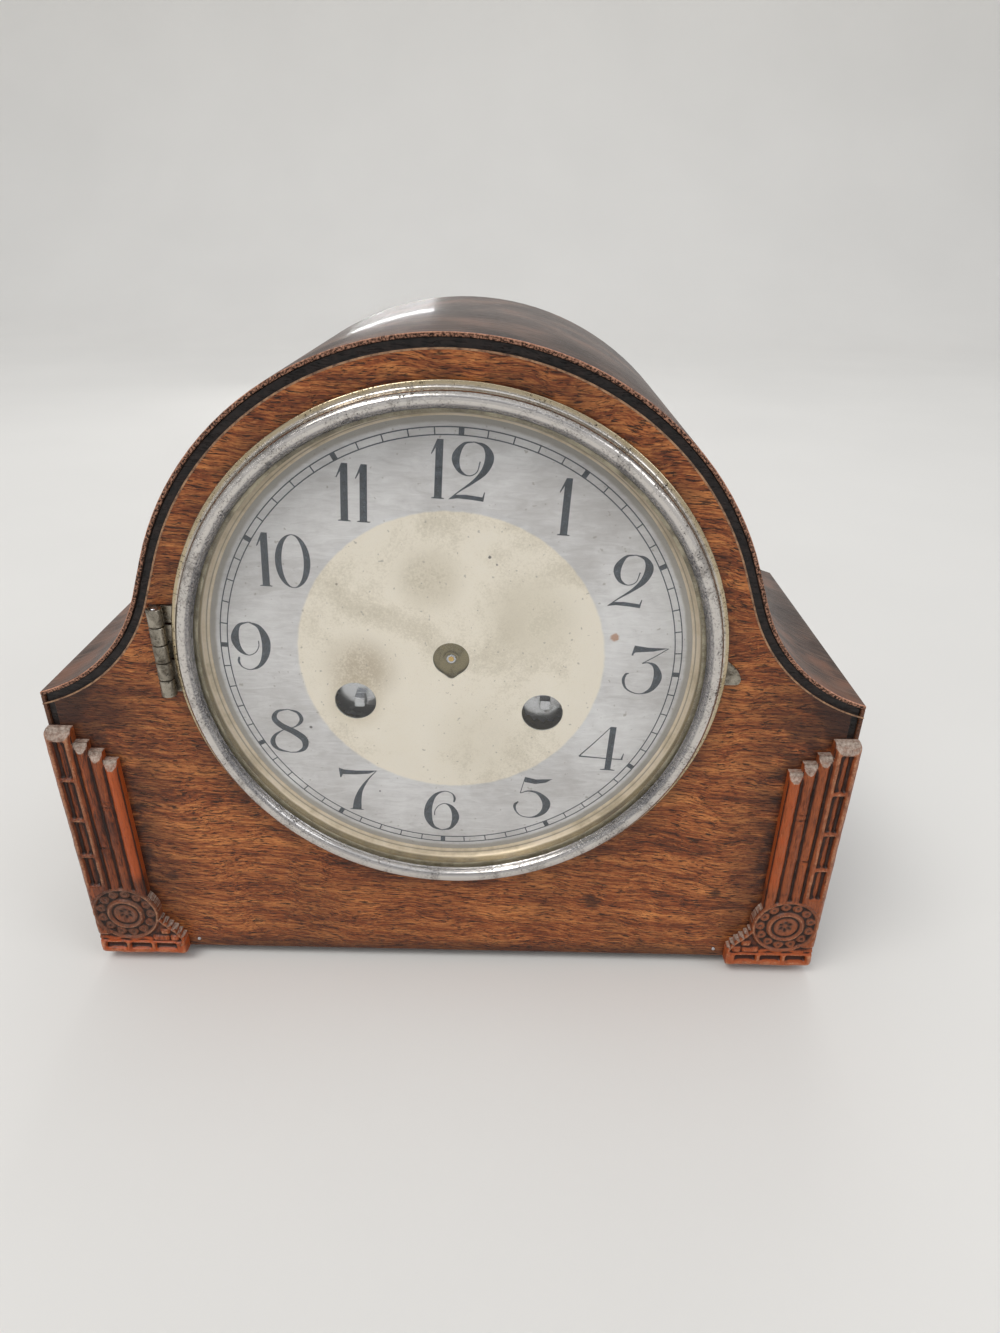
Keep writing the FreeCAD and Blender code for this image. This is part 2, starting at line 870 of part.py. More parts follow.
def meeting_place(first, first_distance, second, second_distance, upper):
    """Place at given distances from two others, above or below the line."""
    apart = distance(first, second)
    along = (first_distance ** 2 - second_distance ** 2 + apart ** 2) / (2 * apart)
    aside = math.sqrt(first_distance ** 2 - along ** 2)
    turn = bearing_of(first, second) + math.degrees(math.atan2(aside, along)) * upper
    return beyond(first, first_distance, turn)


great_distance = great_module * (great_teeth + great_pinion_leaves) / 2
second_distance = second_module * (second_teeth + centre_pinion_leaves) / 2
going_place = (barrel_x, barrel_z)
strike_place = (-barrel_x, barrel_z)
centre_place = origin
second_place = meeting_place(centre_place, second_distance, going_place, great_distance, 1)
third_distance = third_module * (third_teeth + third_pinion_leaves) / 2
third_place = (0.0, third_distance)
escape_distance = escape_module * (escape_driver_teeth + escape_pinion_leaves) / 2
escape_place = (0.0, third_distance + escape_distance)
anchor_place = (0.0, escape_place[1] + anchor_height)
motion_distance = minute_module * (minute_teeth + motion_pinion_leaves) / 2
minute_place = (0.0, -motion_distance)
strike_second_place = (-second_place[0], second_place[1])
pin_wheel_distance = strike_second_module * (strike_second_teeth + pin_pinion_leaves) / 2
pin_wheel_place = beyond(strike_second_place, pin_wheel_distance, pin_wheel_bearing)
warning_distance = pin_wheel_module * (pin_wheel_teeth + warning_pinion_leaves) / 2
warning_place = beyond(pin_wheel_place, warning_distance, warning_bearing)
fly_distance = warning_module * (warning_teeth + fly_pinion_leaves) / 2
fly_place = beyond(warning_place, fly_distance, fly_bearing)
hammer_place = (hammer_x, hammer_z)

# Phases, worked out from the barrels to the last wheels
great_phase = 0.0
second_pinion_phase = mesh_phase(great_teeth, great_phase,
                                 bearing_of(going_place, second_place), great_pinion_leaves)
centre_pinion_phase = mesh_phase(second_teeth, 0.0,
                                 bearing_of(second_place, centre_place), centre_pinion_leaves)
third_pinion_phase = mesh_phase(third_teeth, 0.0,
                                bearing_of(centre_place, third_place), third_pinion_leaves)
escape_pinion_phase = mesh_phase(escape_driver_teeth, 0.0,
                                 bearing_of(third_place, escape_place), escape_pinion_leaves)
minute_phase = mesh_phase(motion_pinion_leaves, 0.0,
                          bearing_of(centre_place, minute_place), minute_teeth)
hour_phase = mesh_phase(motion_pinion_leaves, 0.0,
                        bearing_of(minute_place, centre_place), hour_teeth)
strike_second_phase = mesh_phase(great_teeth, great_phase,
                                 bearing_of(strike_place, strike_second_place), great_pinion_leaves)
pin_pinion_phase = mesh_phase(strike_second_teeth, 0.0, pin_wheel_bearing, pin_pinion_leaves)
warning_pinion_phase = mesh_phase(pin_wheel_teeth, 0.0, warning_bearing, warning_pinion_leaves)
fly_pinion_phase = mesh_phase(warning_teeth, 0.0, fly_bearing, fly_pinion_leaves)

drum_back = drum_front + barrel_length


def barrel(place):
    """Closed drum that holds the wound spring, with its toothed wheel at the front."""
    gear = wheel(place, great_teeth, great_module, great_phase, great_front)
    drum = bar(place, barrel_radius, great_front + wheel_thick, drum_back, drum_sides)
    return joined([gear, drum]).cut(bore(place, winding_arbor_radius, great_front, drum_back))


def winding_arbor(place, hand):
    """Winding arbor: a square before the plate, a ratchet wheel, then the round arbor."""
    front = dial_back + square_setback
    ratchet_front = plate_front - seat_gap - ratchet_thick
    half = square_side / 2
    square = block(place[0] - half, place[0] + half, front, ratchet_front,
                   place[1] - half, place[1] + half)
    body = bar(place, winding_arbor_radius, ratchet_front, plate_rear)
    step = 360 / ratchet_teeth
    root = ratchet_radius - ratchet_depth
    points = []
    for index in range(ratchet_teeth):
        pair = [polar(ratchet_radius, index * step),
                polar(root, (index + hand * ratchet_rake_share) * step)]
        points += pair if hand > 0 else pair[::-1]
    ratchet = prism(at_place(points, place), ratchet_front, ratchet_front + ratchet_thick)
    return joined([square, body, ratchet])


def click_place(place):
    """The click's screw, out to the side of the ratchet."""
    side = 1 if place[0] > 0 else -1
    return beyond(place, ratchet_radius + click_reach, 90 - side * click_bearing)


def click(place):
    """Click whose nose stands just clear of the ratchet's teeth."""
    pivot = click_place(place)
    side = 1 if place[0] > 0 else -1
    y0 = plate_front - seat_gap - click_thick
    y1 = y0 + click_thick
    nose = beyond(place, ratchet_radius + seat_gap, 90 - side * click_nose_bearing)
    along = bearing_of(pivot, nose)
    half = click_width / 2
    arm = prism([beyond(pivot, half, along + 90), nose, beyond(pivot, half, along - 90)], y0, y1)
    eye = bar(pivot, half, y0, y1, hole_sides)
    return joined([arm, eye]).cut(bore(pivot, stud_radius, y0, y1))


def click_screws():
    screws = []
    for place in (going_place, strike_place):
        pivot = click_place(place)
        y0 = plate_front - seat_gap - click_thick - arbor_clearance
        head = bar(pivot, click_screw_head, y0 - click_screw_head_thick, y0, hexagon_sides)
        screws.append(joined([head, bar(pivot, stud_radius, y0, plate_front)]))
    return screws


def second_wheel():
    place = second_place
    gear = wheel(place, second_teeth, second_module, 0.0, rear_wheels)
    leaves = pinion(place, great_pinion_leaves, great_module, second_pinion_phase,
                    great_front - seat_gap, great_front + wheel_thick * 2)
    return joined([gear, leaves, arbor(place)])


def centre_wheel():
    """Centre arbor with its pinion at the back and its wheel at the front."""
    gear = wheel(centre_place, third_teeth, third_module, 0.0, front_wheels)
    leaves = pinion(centre_place, centre_pinion_leaves, second_module, centre_pinion_phase,
                    rear_wheels - wheel_thick / 2, rear_wheels + wheel_thick * 1.5)
    staff = bar(centre_place, arbor_radius, dial_front + arbor_end_setback, plate_rear)
    return joined([gear, leaves, staff])


motion_front = dial_back + seat_gap * 2
hour_front = motion_front
minute_front = plate_front - seat_gap - wheel_thick
cannon_radius = arbor_radius + pipe_wall


def cannon_pinion():
    """Pipe gripped on the centre arbor, with the leaves that drive the minute wheel."""
    leaves = pinion(centre_place, motion_pinion_leaves, minute_module, 0.0,
                    minute_front - seat_gap, minute_front + wheel_thick)
    pipe = bar(centre_place, cannon_radius, dial_front + arbor_end_setback, minute_front)
    whole = joined([leaves, pipe])
    return whole.cut(bar(centre_place, arbor_radius, 0, plate_rear))


def minute_wheel():
    """Wheel on a plate stud with the leaves that drive the hour wheel."""
    gear = wheel(minute_place, minute_teeth, minute_module, minute_phase, minute_front)
    leaves = pinion(minute_place, motion_pinion_leaves, hour_module, 0.0,
                    hour_front, minute_front)
    return joined([gear, leaves]).cut(bore(minute_place, stud_radius, 0, plate_rear))


def hour_wheel():
    """Wheel and pipe that turn freely round the cannon pinion."""
    gear = prism(at_place(tooth_points(hour_teeth, hour_module, hour_phase, False), centre_place),
                 hour_front, hour_front + hour_thick)
    outer = cannon_radius + pipe_wall
    pipe = bar(centre_place, outer, dial_front + arbor_end_setback, hour_front, hole_sides)
    return joined([gear, pipe]).cut(bore(centre_place, cannon_radius, 0, plate_front))


def third_wheel():
    gear = wheel(third_place, escape_driver_teeth, escape_module, 0.0, middle_wheels)
    leaves = pinion(third_place, third_pinion_leaves, third_module, third_pinion_phase,
                    frame_front + end_shake, front_wheels + wheel_thick * 1.5)
    return joined([gear, leaves, arbor(third_place)])


def escape_wheel():
    """Thin wheel with raked teeth."""
    points = []
    step = 360 / escape_teeth
    for index in range(escape_teeth):
        points.append(polar(escape_radius, index * step))
        points.append(polar(escape_radius - escape_tooth_depth, index * step + step * escape_hook_share))
    gear = prism(at_place(points, escape_place), rear_wheels, rear_wheels + wheel_thick)
    leaves = pinion(escape_place, escape_pinion_leaves, escape_module, escape_pinion_phase,
                    middle_wheels - wheel_thick / 2, middle_wheels + wheel_thick * 1.5)
    return joined([gear, leaves, arbor(escape_place)])


def strike_second_wheel():
    place = strike_second_place
    gear = wheel(place, strike_second_teeth, strike_second_module, 0.0, rear_wheels)
    leaves = pinion(place, great_pinion_leaves, great_module, strike_second_phase,
                    great_front - seat_gap, great_front + wheel_thick * 2)
    return joined([gear, leaves, arbor(place)])


def strike_pin_wheel():
    """Strike wheel whose pins lift the hammer."""
    gear = wheel(pin_wheel_place, pin_wheel_teeth, pin_wheel_module, 0.0, middle_wheels)
    leaves = pinion(pin_wheel_place, pin_pinion_leaves, strike_second_module, pin_pinion_phase,
                    rear_wheels - wheel_thick / 2, rear_wheels + wheel_thick * 1.5)
    pins = []
    for index in range(lifting_pins):
        place = beyond(pin_wheel_place, lifting_pin_circle, (index + 0.5) * 360 / lifting_pins)
        pins.append(bar(place, lifting_pin_radius, middle_wheels + wheel_thick,
                        middle_wheels + wheel_thick + lifting_pin_length, hexagon_sides))
    return joined([gear, leaves, arbor(pin_wheel_place)] + pins)


warning_level = frame_front + plate_space / 2


def strike_warning_wheel():
    gear = wheel(warning_place, warning_teeth, warning_module, 0.0, warning_level)
    leaves = pinion(warning_place, warning_pinion_leaves, pin_wheel_module, warning_pinion_phase,
                    middle_wheels - wheel_thick / 2, middle_wheels + wheel_thick * 1.5)
    return joined([gear, leaves, arbor(warning_place)])


def strike_fly():
    """Air brake: a thin vane on the last arbor of the strike."""
    leaves = pinion(fly_place, fly_pinion_leaves, warning_module, fly_pinion_phase,
                    warning_level - wheel_thick / 2, warning_level + wheel_thick * 1.5)
    y0 = warning_level + wheel_thick * 2.5
    vane = block(fly_place[0] - fly_half_width, fly_place[0] + fly_half_width, y0,
                 y0 + fly_length, fly_place[1] - fly_thick / 2, fly_place[1] + fly_thick / 2)
    return joined([leaves, vane, arbor(fly_place)])


# Movement: frame

def pillar_places():
    x = plate_half_width - pillar_inset
    return [(side * x, z) for side in (-1, 1)
            for z in (plate_bottom + pillar_inset, plate_top - pillar_inset)]


def train_places():
    return [second_place, third_place, escape_place, strike_second_place, pin_wheel_place,
            warning_place, fly_place, centre_place, anchor_place, hammer_place]


def plate_blank(y0):
    half = plate_half_width
    cut = plate_corner
    points = [(-half + cut, plate_bottom), (half - cut, plate_bottom), (half, plate_bottom + cut),
              (half, plate_top - cut), (half - cut, plate_top), (-half + cut, plate_top),
              (-half, plate_top - cut), (-half, plate_bottom + cut)]
    return prism(points, y0, y0 + plate_thick)


def drilled(plate, places, radius):
    for place in places:
        plate = plate.cut(bore(place, radius, 0, plate_rear))
    return plate


def movement_front_plate():
    """Front plate with the minute wheel's stud riveted in."""
    plate = drilled(plate_blank(plate_front), [going_place, strike_place], winding_arbor_radius)
    stud = bar(minute_place, stud_radius, hour_front, plate_front)
    return joined([drilled(plate, [centre_place], arbor_radius), stud])


def movement_back_plate():
    plate = drilled(plate_blank(frame_back), train_places(), arbor_radius)
    return drilled(plate, [going_place, strike_place], winding_arbor_radius)


def plate_pillars():
    return [bar(place, pillar_radius, frame_front, frame_back) for place in pillar_places()]


def pillar_nuts():
    """Six-sided cap nuts behind the back plate."""
    return [bar(place, pillar_nut_radius, plate_rear, plate_rear + pillar_nut_thick,
                hexagon_sides)
            for place in pillar_places()]


def mounting_straps():
    """Four flat irons from the pillars out to the back of the front board."""
    straps = []
    half = strap_width / 2
    for place in pillar_places():
        turn = bearing_of(origin, place)
        start = beyond(place, -strap_start_margin, turn)
        far = polar(strap_end_circle, turn)
        corners = [beyond(start, half, turn + 90), beyond(start, half, turn - 90),
                   beyond(far, half, turn - 90), beyond(far, half, turn + 90)]
        straps.append(prism(corners, board_thick, plate_front))
    return straps


def mounting_screws():
    screws = []
    for place in pillar_places():
        end = polar(strap_circle, bearing_of(origin, place))
        shank = bar(end, wood_screw_head / 2, plate_front - wood_screw_length, plate_front)
        head = bar(end, wood_screw_head, plate_front, plate_front + wood_screw_head_thick)
        screws.append(joined([shank, head]))
    return screws


# Movement: escapement, pendulum, hammer and gong

pendulum_plane = plate_rear + cock_reach


def anchor_pallets():
    """Anchor, its arbor through the back plate and the crutch behind it."""
    tip_radius = escape_radius + pallet_clearance
    pieces = []
    high = (0.0, anchor_place[1] + pallet_width)
    low = (0.0, anchor_place[1] - pallet_width / 2)
    for side in (-1, 1):
        bearing = 90 + side * pallet_bearing
        tip = beyond(escape_place, tip_radius, bearing)
        outer = beyond(escape_place, tip_radius + pallet_width, bearing)
        pieces.append(prism([low, tip, outer, high], rear_wheels, rear_wheels + pallet_thick))
    y0 = plate_rear + seat_gap * 2
    y1 = y0 + crutch_thick
    staff = bar(anchor_place, arbor_radius, frame_front + end_shake, y1)
    x = crutch_width / 2
    bottom = anchor_place[1] - crutch_length
    arm = block(-x, x, y0, y1, bottom, anchor_place[1] + x)
    inner = rod_radius + fork_gap / 2
    bridge = block(-inner - fork_prong, inner + fork_prong, y0, y1,
                   bottom, bottom + fork_prong * 2)
    prongs = []
    for side in (-1, 1):
        x0, x1 = sorted((side * inner, side * (inner + fork_prong)))
        prongs.append(block(x0, x1, y0, pendulum_plane + fork_length / 2,
                            bottom, bottom + fork_prong * 2))
    return joined(pieces + [staff, arm, bridge] + prongs)


suspension_top = anchor_place[1]
suspension_low = suspension_top - spring_length


def pendulum_cock():
    """Angle bracket on the back plate whose cheeks grip the suspension spring."""
    y0 = plate_rear
    half = cock_width / 2
    top = suspension_top + cock_rise
    foot = block(-half, half, y0, y0 + cock_thick, suspension_top + cock_foot_drop, top)
    shelf = block(-half, half, y0, pendulum_plane + spring_width, top - cock_thick, top)
    cheeks = block(-clip_thick, clip_thick, pendulum_plane - spring_width,
                   pendulum_plane + spring_width, suspension_top + spring_top_gap, top)
    slot = block(-spring_thick / 2, spring_thick / 2, 0, case_depth,
                 0, top - cock_thick)
    return joined([foot, shelf, cheeks.cut(slot)])


def suspension_spring():
    """Thin steel strip, broad from front to back, that bends as the pendulum swings."""
    return block(-spring_thick / 2, spring_thick / 2, pendulum_plane - spring_width / 2,
                 pendulum_plane + spring_width / 2, suspension_low, suspension_top)


bob_middle = anchor_place[1] - pendulum_length
rod_low = bob_middle - bob_radius - rating_nut_thick * 2.5


def pendulum_rod():
    """Round rod with a flat clip that grips the spring's lower end."""
    clip = block(-clip_thick / 2, clip_thick / 2, pendulum_plane - clip_width / 2,
                 pendulum_plane + clip_width / 2, suspension_low - clip_height / 2,
                 suspension_low + clip_height / 2)
    slot = block(-spring_thick / 2, spring_thick / 2, 0, case_depth,
                 suspension_low, suspension_top)
    shaft = stem(0, pendulum_plane, rod_radius, rod_low, suspension_low - clip_height / 4)
    return joined([clip.cut(slot), shaft])


def pendulum_bob():
    """Lens-shaped bob with a hole for the rod."""
    rim = bob_thick * bob_rim_share / 2
    stations = ((bob_radius * bob_face_share, -bob_thick / 2), (bob_radius, -rim),
                (bob_radius, rim), (bob_radius * bob_face_share, bob_thick / 2))
    wires = []
    for radius, rise in stations:
        points = at_place(ring_points(radius, drum_sides), (0, bob_middle))
        corners = [vec(x, pendulum_plane + rise, z) for x, z in points]
        wires.append(Part.makePolygon(corners + corners[:1]))
    hole = stem(0, pendulum_plane, rod_radius, rod_low, suspension_top, bob_hole_clearance)
    return Part.makeLoft(wires, True, True).cut(hole)


def rating_nut():
    low = bob_middle - bob_radius - rating_nut_thick
    nut = stem(0, pendulum_plane, rating_nut_radius, low, low + rating_nut_thick)
    return nut.cut(stem(0, pendulum_plane, rod_radius, rod_low, suspension_top))


gong_front = plate_rear + gong_behind_plate
gong_back = gong_front + gong_depth
gong_middle = gong_front + gong_depth / 2
gong_place = (gong_x, gong_z)


def gong_coil():
    """Flat steel strip wound as a spiral, with its inner end on the stud."""
    outer = []
    inner = []
    for index in range(gong_turns * gong_sides + 1):
        radius = gong_radius - gong_pitch * index / gong_sides
        bearing = 180 + 360 * index / gong_sides
        outer.append(beyond(gong_place, radius + gong_band / 2, bearing))
        inner.append(beyond(gong_place, radius - gong_band / 2, bearing))
    coil = prism(outer + inner[::-1], gong_front, gong_back)
    reach = gong_radius - gong_pitch * gong_turns + gong_band / 2
    spoke = block(gong_x - reach, gong_x, gong_front, gong_back,
                  gong_z - gong_band, gong_z + gong_band / 2)
    stud = bar(gong_place, gong_stud_radius, gong_front, gong_back + gong_depth)
    return joined([coil, spoke, stud])


def gong_post():
    """Cast post that stands on the base board and holds the gong's stud."""
    y0 = gong_back + gong_depth
    base = case_bottom + base_thick
    half = gong_post_width / 2
    post = block(gong_x - half / 2, gong_x + half / 2, y0, y0 + gong_post_depth,
                 base, gong_z)
    head = bar(gong_place, half, y0, y0 + gong_post_depth, hole_sides)
    foot = block(gong_x - gong_post_width, gong_x + gong_post_width,
                 y0, y0 + (back_inner - y0) * gong_foot_share, base, base + gong_foot_height)
    return joined([post, head, foot])


def hammer_wire():
    """Straight wire from the hammer's arbor down through its head."""
    x, z = hammer_head_centre()
    return slanted(vec(hammer_x, gong_middle, hammer_z), vec(x, gong_middle, z),
                   hammer_wire_radius)


def hammer_arm():
    """Hammer arbor with the tail that the pins lift, and the wire."""
    staff = bar(hammer_place, arbor_radius, frame_front + end_shake, gong_back)
    toward = bearing_of(hammer_place, pin_wheel_place)
    reach = distance(hammer_place, pin_wheel_place)
    tip = beyond(hammer_place, reach - lifting_pin_circle - lifting_pin_radius - seat_gap * 2,
                 toward)
    half = hammer_tail_width / 2
    corners = [beyond(hammer_place, half, toward + 90), beyond(hammer_place, half, toward - 90),
               beyond(tip, half / 2, toward - 90), beyond(tip, half / 2, toward + 90)]
    y0 = middle_wheels + wheel_thick + seat_gap
    tail = prism(corners, y0, y0 + wheel_thick)
    return joined([staff, tail, hammer_wire()])


def hammer_head_centre():
    x = gong_x - gong_radius - gong_band / 2 - hammer_gap - hammer_head_length / 2
    return x, gong_z


def hammer_head():
    """Brass head on the wire's end, turned towards the gong's outer turn."""
    x, z = hammer_head_centre()
    half = hammer_head_length / 2
    body = slanted(vec(x - half, gong_middle, z), vec(x + half, gong_middle, z),
                   hammer_head_radius)
    return body.cut(hammer_wire())


def main():
    os.makedirs("parts", exist_ok=True)
    save("front_board", front_board())
    save("arch_cover", arch_cover())
    save("side_panel_right", side_panel())
    save("side_panel_left", mirrored(side_panel()))
    save("base_board", base_board())
    save("glue_blocks", glue_blocks())
    save("feet", feet())
    save("back_frame", back_frame())
    save("back_door", back_door())
    save("door_hinge_frame_leaves", door_hinges(True))
    save("door_hinge_door_leaves", door_hinges(False))
    save("door_turn_button", turn_button())
    save("turn_button_screw", button_screw())
    save("corner_ornament_right", corner_ornament())
    save("corner_ornament_left", mirrored(corner_ornament()))
    save("board_brads", board_brads())
    save("dial_plate", dial_plate())
    save("dial_surround", dial_surround())
    save("dial_pins", dial_pins())
    save("bezel_ring", bezel_ring())
    save("bezel_glass", bezel_glass())
    save("glass_retainer", glass_retainer())
    save("board_hinge_leaf", board_hinge_leaf())
    save("bezel_hinge_leaf", bezel_hinge_leaf())
    save("bezel_hinge_pin", bezel_hinge_pin())
    save("bezel_thumb_tab", bezel_thumb_tab())
    save("movement_front_plate", movement_front_plate())
    save("movement_back_plate", movement_back_plate())
    save("plate_pillars", plate_pillars())
    save("pillar_nuts", pillar_nuts())
    save("mounting_straps", mounting_straps())
    save("mounting_screws", mounting_screws())
    save("going_barrel", barrel(going_place))
    save("strike_barrel", barrel(strike_place))
    save("going_winding_arbor", winding_arbor(going_place, 1))
    save("strike_winding_arbor", winding_arbor(strike_place, -1))
    save("going_click", click(going_place))
    save("strike_click", click(strike_place))
    save("click_screws", click_screws())
    save("going_second_wheel", second_wheel())
    save("centre_wheel", centre_wheel())
    save("cannon_pinion", cannon_pinion())
    save("minute_wheel", minute_wheel())
    save("hour_wheel", hour_wheel())
    save("third_wheel", third_wheel())
    save("escape_wheel", escape_wheel())
    save("anchor_and_crutch", anchor_pallets())
    save("pendulum_cock", pendulum_cock())
    save("suspension_spring", suspension_spring())
    save("pendulum_rod", pendulum_rod())
    save("pendulum_bob", pendulum_bob())
    save("rating_nut", rating_nut())
    save("strike_second_wheel", strike_second_wheel())
    save("strike_pin_wheel", strike_pin_wheel())
    save("strike_warning_wheel", strike_warning_wheel())
    save("strike_fly", strike_fly())
    save("hammer_arm", hammer_arm())
    save("hammer_head", hammer_head())
    save("gong_coil", gong_coil())
    save("gong_post", gong_post())


main()
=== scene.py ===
import json
import math

import bmesh
import bpy
import numpy as np
from mathutils import Matrix, Vector


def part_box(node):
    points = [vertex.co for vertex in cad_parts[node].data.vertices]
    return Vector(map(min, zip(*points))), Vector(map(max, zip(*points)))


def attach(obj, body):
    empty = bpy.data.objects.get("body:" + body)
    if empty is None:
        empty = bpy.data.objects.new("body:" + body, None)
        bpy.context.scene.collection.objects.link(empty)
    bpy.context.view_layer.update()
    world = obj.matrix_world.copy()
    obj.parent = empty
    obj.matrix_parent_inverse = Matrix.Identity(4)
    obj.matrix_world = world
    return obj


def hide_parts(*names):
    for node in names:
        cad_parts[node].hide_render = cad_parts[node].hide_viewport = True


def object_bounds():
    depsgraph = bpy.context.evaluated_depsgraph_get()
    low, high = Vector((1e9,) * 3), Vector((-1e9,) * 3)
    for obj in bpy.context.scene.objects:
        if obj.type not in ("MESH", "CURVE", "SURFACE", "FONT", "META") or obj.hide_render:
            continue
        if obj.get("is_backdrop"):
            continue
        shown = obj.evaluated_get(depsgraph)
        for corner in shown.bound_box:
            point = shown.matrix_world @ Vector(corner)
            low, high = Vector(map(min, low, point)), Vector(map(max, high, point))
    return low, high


bl_info = {
    "name": "Mantel clock finish",
    "version": (1, 0, 0),
    "blender": (4, 5, 0),
    "location": "3D View > Sidebar > Clock",
    "description": "Dresses the packed mantel clock with its woods, carving, dial and metal",
    "category": "Object",
}

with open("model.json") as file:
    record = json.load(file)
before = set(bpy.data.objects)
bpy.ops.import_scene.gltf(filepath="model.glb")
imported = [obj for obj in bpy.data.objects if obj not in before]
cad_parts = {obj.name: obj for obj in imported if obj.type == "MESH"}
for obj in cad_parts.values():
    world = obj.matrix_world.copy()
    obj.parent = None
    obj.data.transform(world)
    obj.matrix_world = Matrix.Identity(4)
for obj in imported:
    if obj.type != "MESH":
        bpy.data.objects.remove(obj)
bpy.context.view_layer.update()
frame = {"nodes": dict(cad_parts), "record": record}

MM = 0.001
RECORD = frame["record"]
BODY_OF = {node: body for body, nodes in RECORD["behaviour"]["bodies"].items() for node in nodes}
SLOT_OF = {row["node"]: row["material_slot"] for row in RECORD["subparts"]}
DIAL_LOW, DIAL_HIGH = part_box("dial_plate")
# Lengths below are millimetres from the middle of the dial: x right, y from the board's face
# to the back, z up.
CENTRE = Vector(((DIAL_LOW[0] + DIAL_HIGH[0]) / 2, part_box("front_board")[0][1],
                 (DIAL_LOW[2] + DIAL_HIGH[2]) / 2))
# The case's upper outline: an arc over the dial, then a hollow sweep to each side
ARC = 93.7
ARC_HALF = math.radians(70)
SWEEP = 52.51
SWEEP_CENTRE = (141.67, 38.26)
HALF_WIDTH = 127.2
BOTTOM = -117.4
BAND = 3.75
BAND_FOOT = -24
DIAL_RADIUS = 75.55
DIAL_FACE = 3.5
DIAL_TURN = math.radians(3.23)
HOLES = ((-30.05, -15.05), (28.25, -18.25))
HOLE_RADIUS = 6.5
INK_BACK = DIAL_FACE + 0.01
HINGE_AXIS = (-85.6, -2.5)
HINGE_LOW = -11.0
HINGE_LENGTH = 29.0
GONG_MIDDLE = (14.0, 61.3, -58.0)


def to_frame(point):
    return (CENTRE.x + point[0] * MM, CENTRE.y + point[1] * MM, CENTRE.z + point[2] * MM)


def size(name):
    """A size from the panel, in millimetres."""
    return getattr(bpy.context.scene.clock_sizes, name) / MM


# ---------------------------------------------------------------- materials

def maths_of(operation, turned=False):
    """An operator that adds a Math node; turned puts the other value first."""
    def method(self, other):
        return self.maths(operation, *((other, self) if turned else (self, other)))
    return method


class Link:
    """One outlet of a node, so that a pattern reads as a sum."""

    def __init__(self, nodes, outlet):
        self.nodes = nodes
        self.outlet = outlet

    def maths(self, operation, *values):
        return self.nodes.node("ShaderNodeMath", {"operation": operation},
                               dict(enumerate(values)))

    __add__, __radd__ = maths_of("ADD"), maths_of("ADD", True)
    __sub__, __rsub__ = maths_of("SUBTRACT"), maths_of("SUBTRACT", True)
    __mul__, __rmul__ = maths_of("MULTIPLY"), maths_of("MULTIPLY", True)
    __truediv__, __rtruediv__ = maths_of("DIVIDE"), maths_of("DIVIDE", True)
    __pow__ = maths_of("POWER")
    most = maths_of("MAXIMUM")

    def clamp(self):
        return self.nodes.node("ShaderNodeClamp", {}, {0: self})

    def reach(self):
        """The value without its sign."""
        return self.maths("ABSOLUTE", self)

    def span(self, low, high, start=0.0, end=1.0):
        """start below low, end above high, and a smooth passage between."""
        return self.nodes.node("ShaderNodeMapRange", {"interpolation_type": "SMOOTHSTEP"}, {
            "Value": self, "From Min": low, "From Max": high, "To Min": start, "To Max": end})

    def at(self, outlet):
        """Another outlet of the same node."""
        return Link(self.nodes, self.outlet.node.outputs[outlet])


class Nodes:
    """A node tree under construction."""

    def __init__(self, tree):
        self.tree = tree

    def put(self, socket, value):
        if isinstance(value, Link):
            self.tree.links.new(value.outlet, socket)
        else:
            socket.default_value = value

    def node(self, kind, settings, values, outlet=0):
        """Adds a node with its settings, then the values or links of its sockets."""
        made = self.tree.nodes.new(kind)
        for name, value in settings.items():
            if name == "stops":
                ramp = made.color_ramp
                while len(ramp.elements) < len(value):
                    ramp.elements.new(1.0)
                for element, (place, colour) in zip(ramp.elements, value):
                    element.position = place
                    element.color = colour
            else:
                setattr(made, name, value)
        for key, value in values.items():
            self.put(made.inputs[key], value)
        return Link(self, made.outputs[outlet])

    def vector(self, operation, first, second):
        return self.node("ShaderNodeVectorMath", {"operation": operation},
                         {0: first, 1: second})

    def join(self, x, y, z):
        return self.node("ShaderNodeCombineXYZ", {}, {0: x, 1: y, 2: z})

    def axes(self, vector):
        split = self.node("ShaderNodeSeparateXYZ", {}, {0: vector})
        return [split.at(axis) for axis in range(3)]


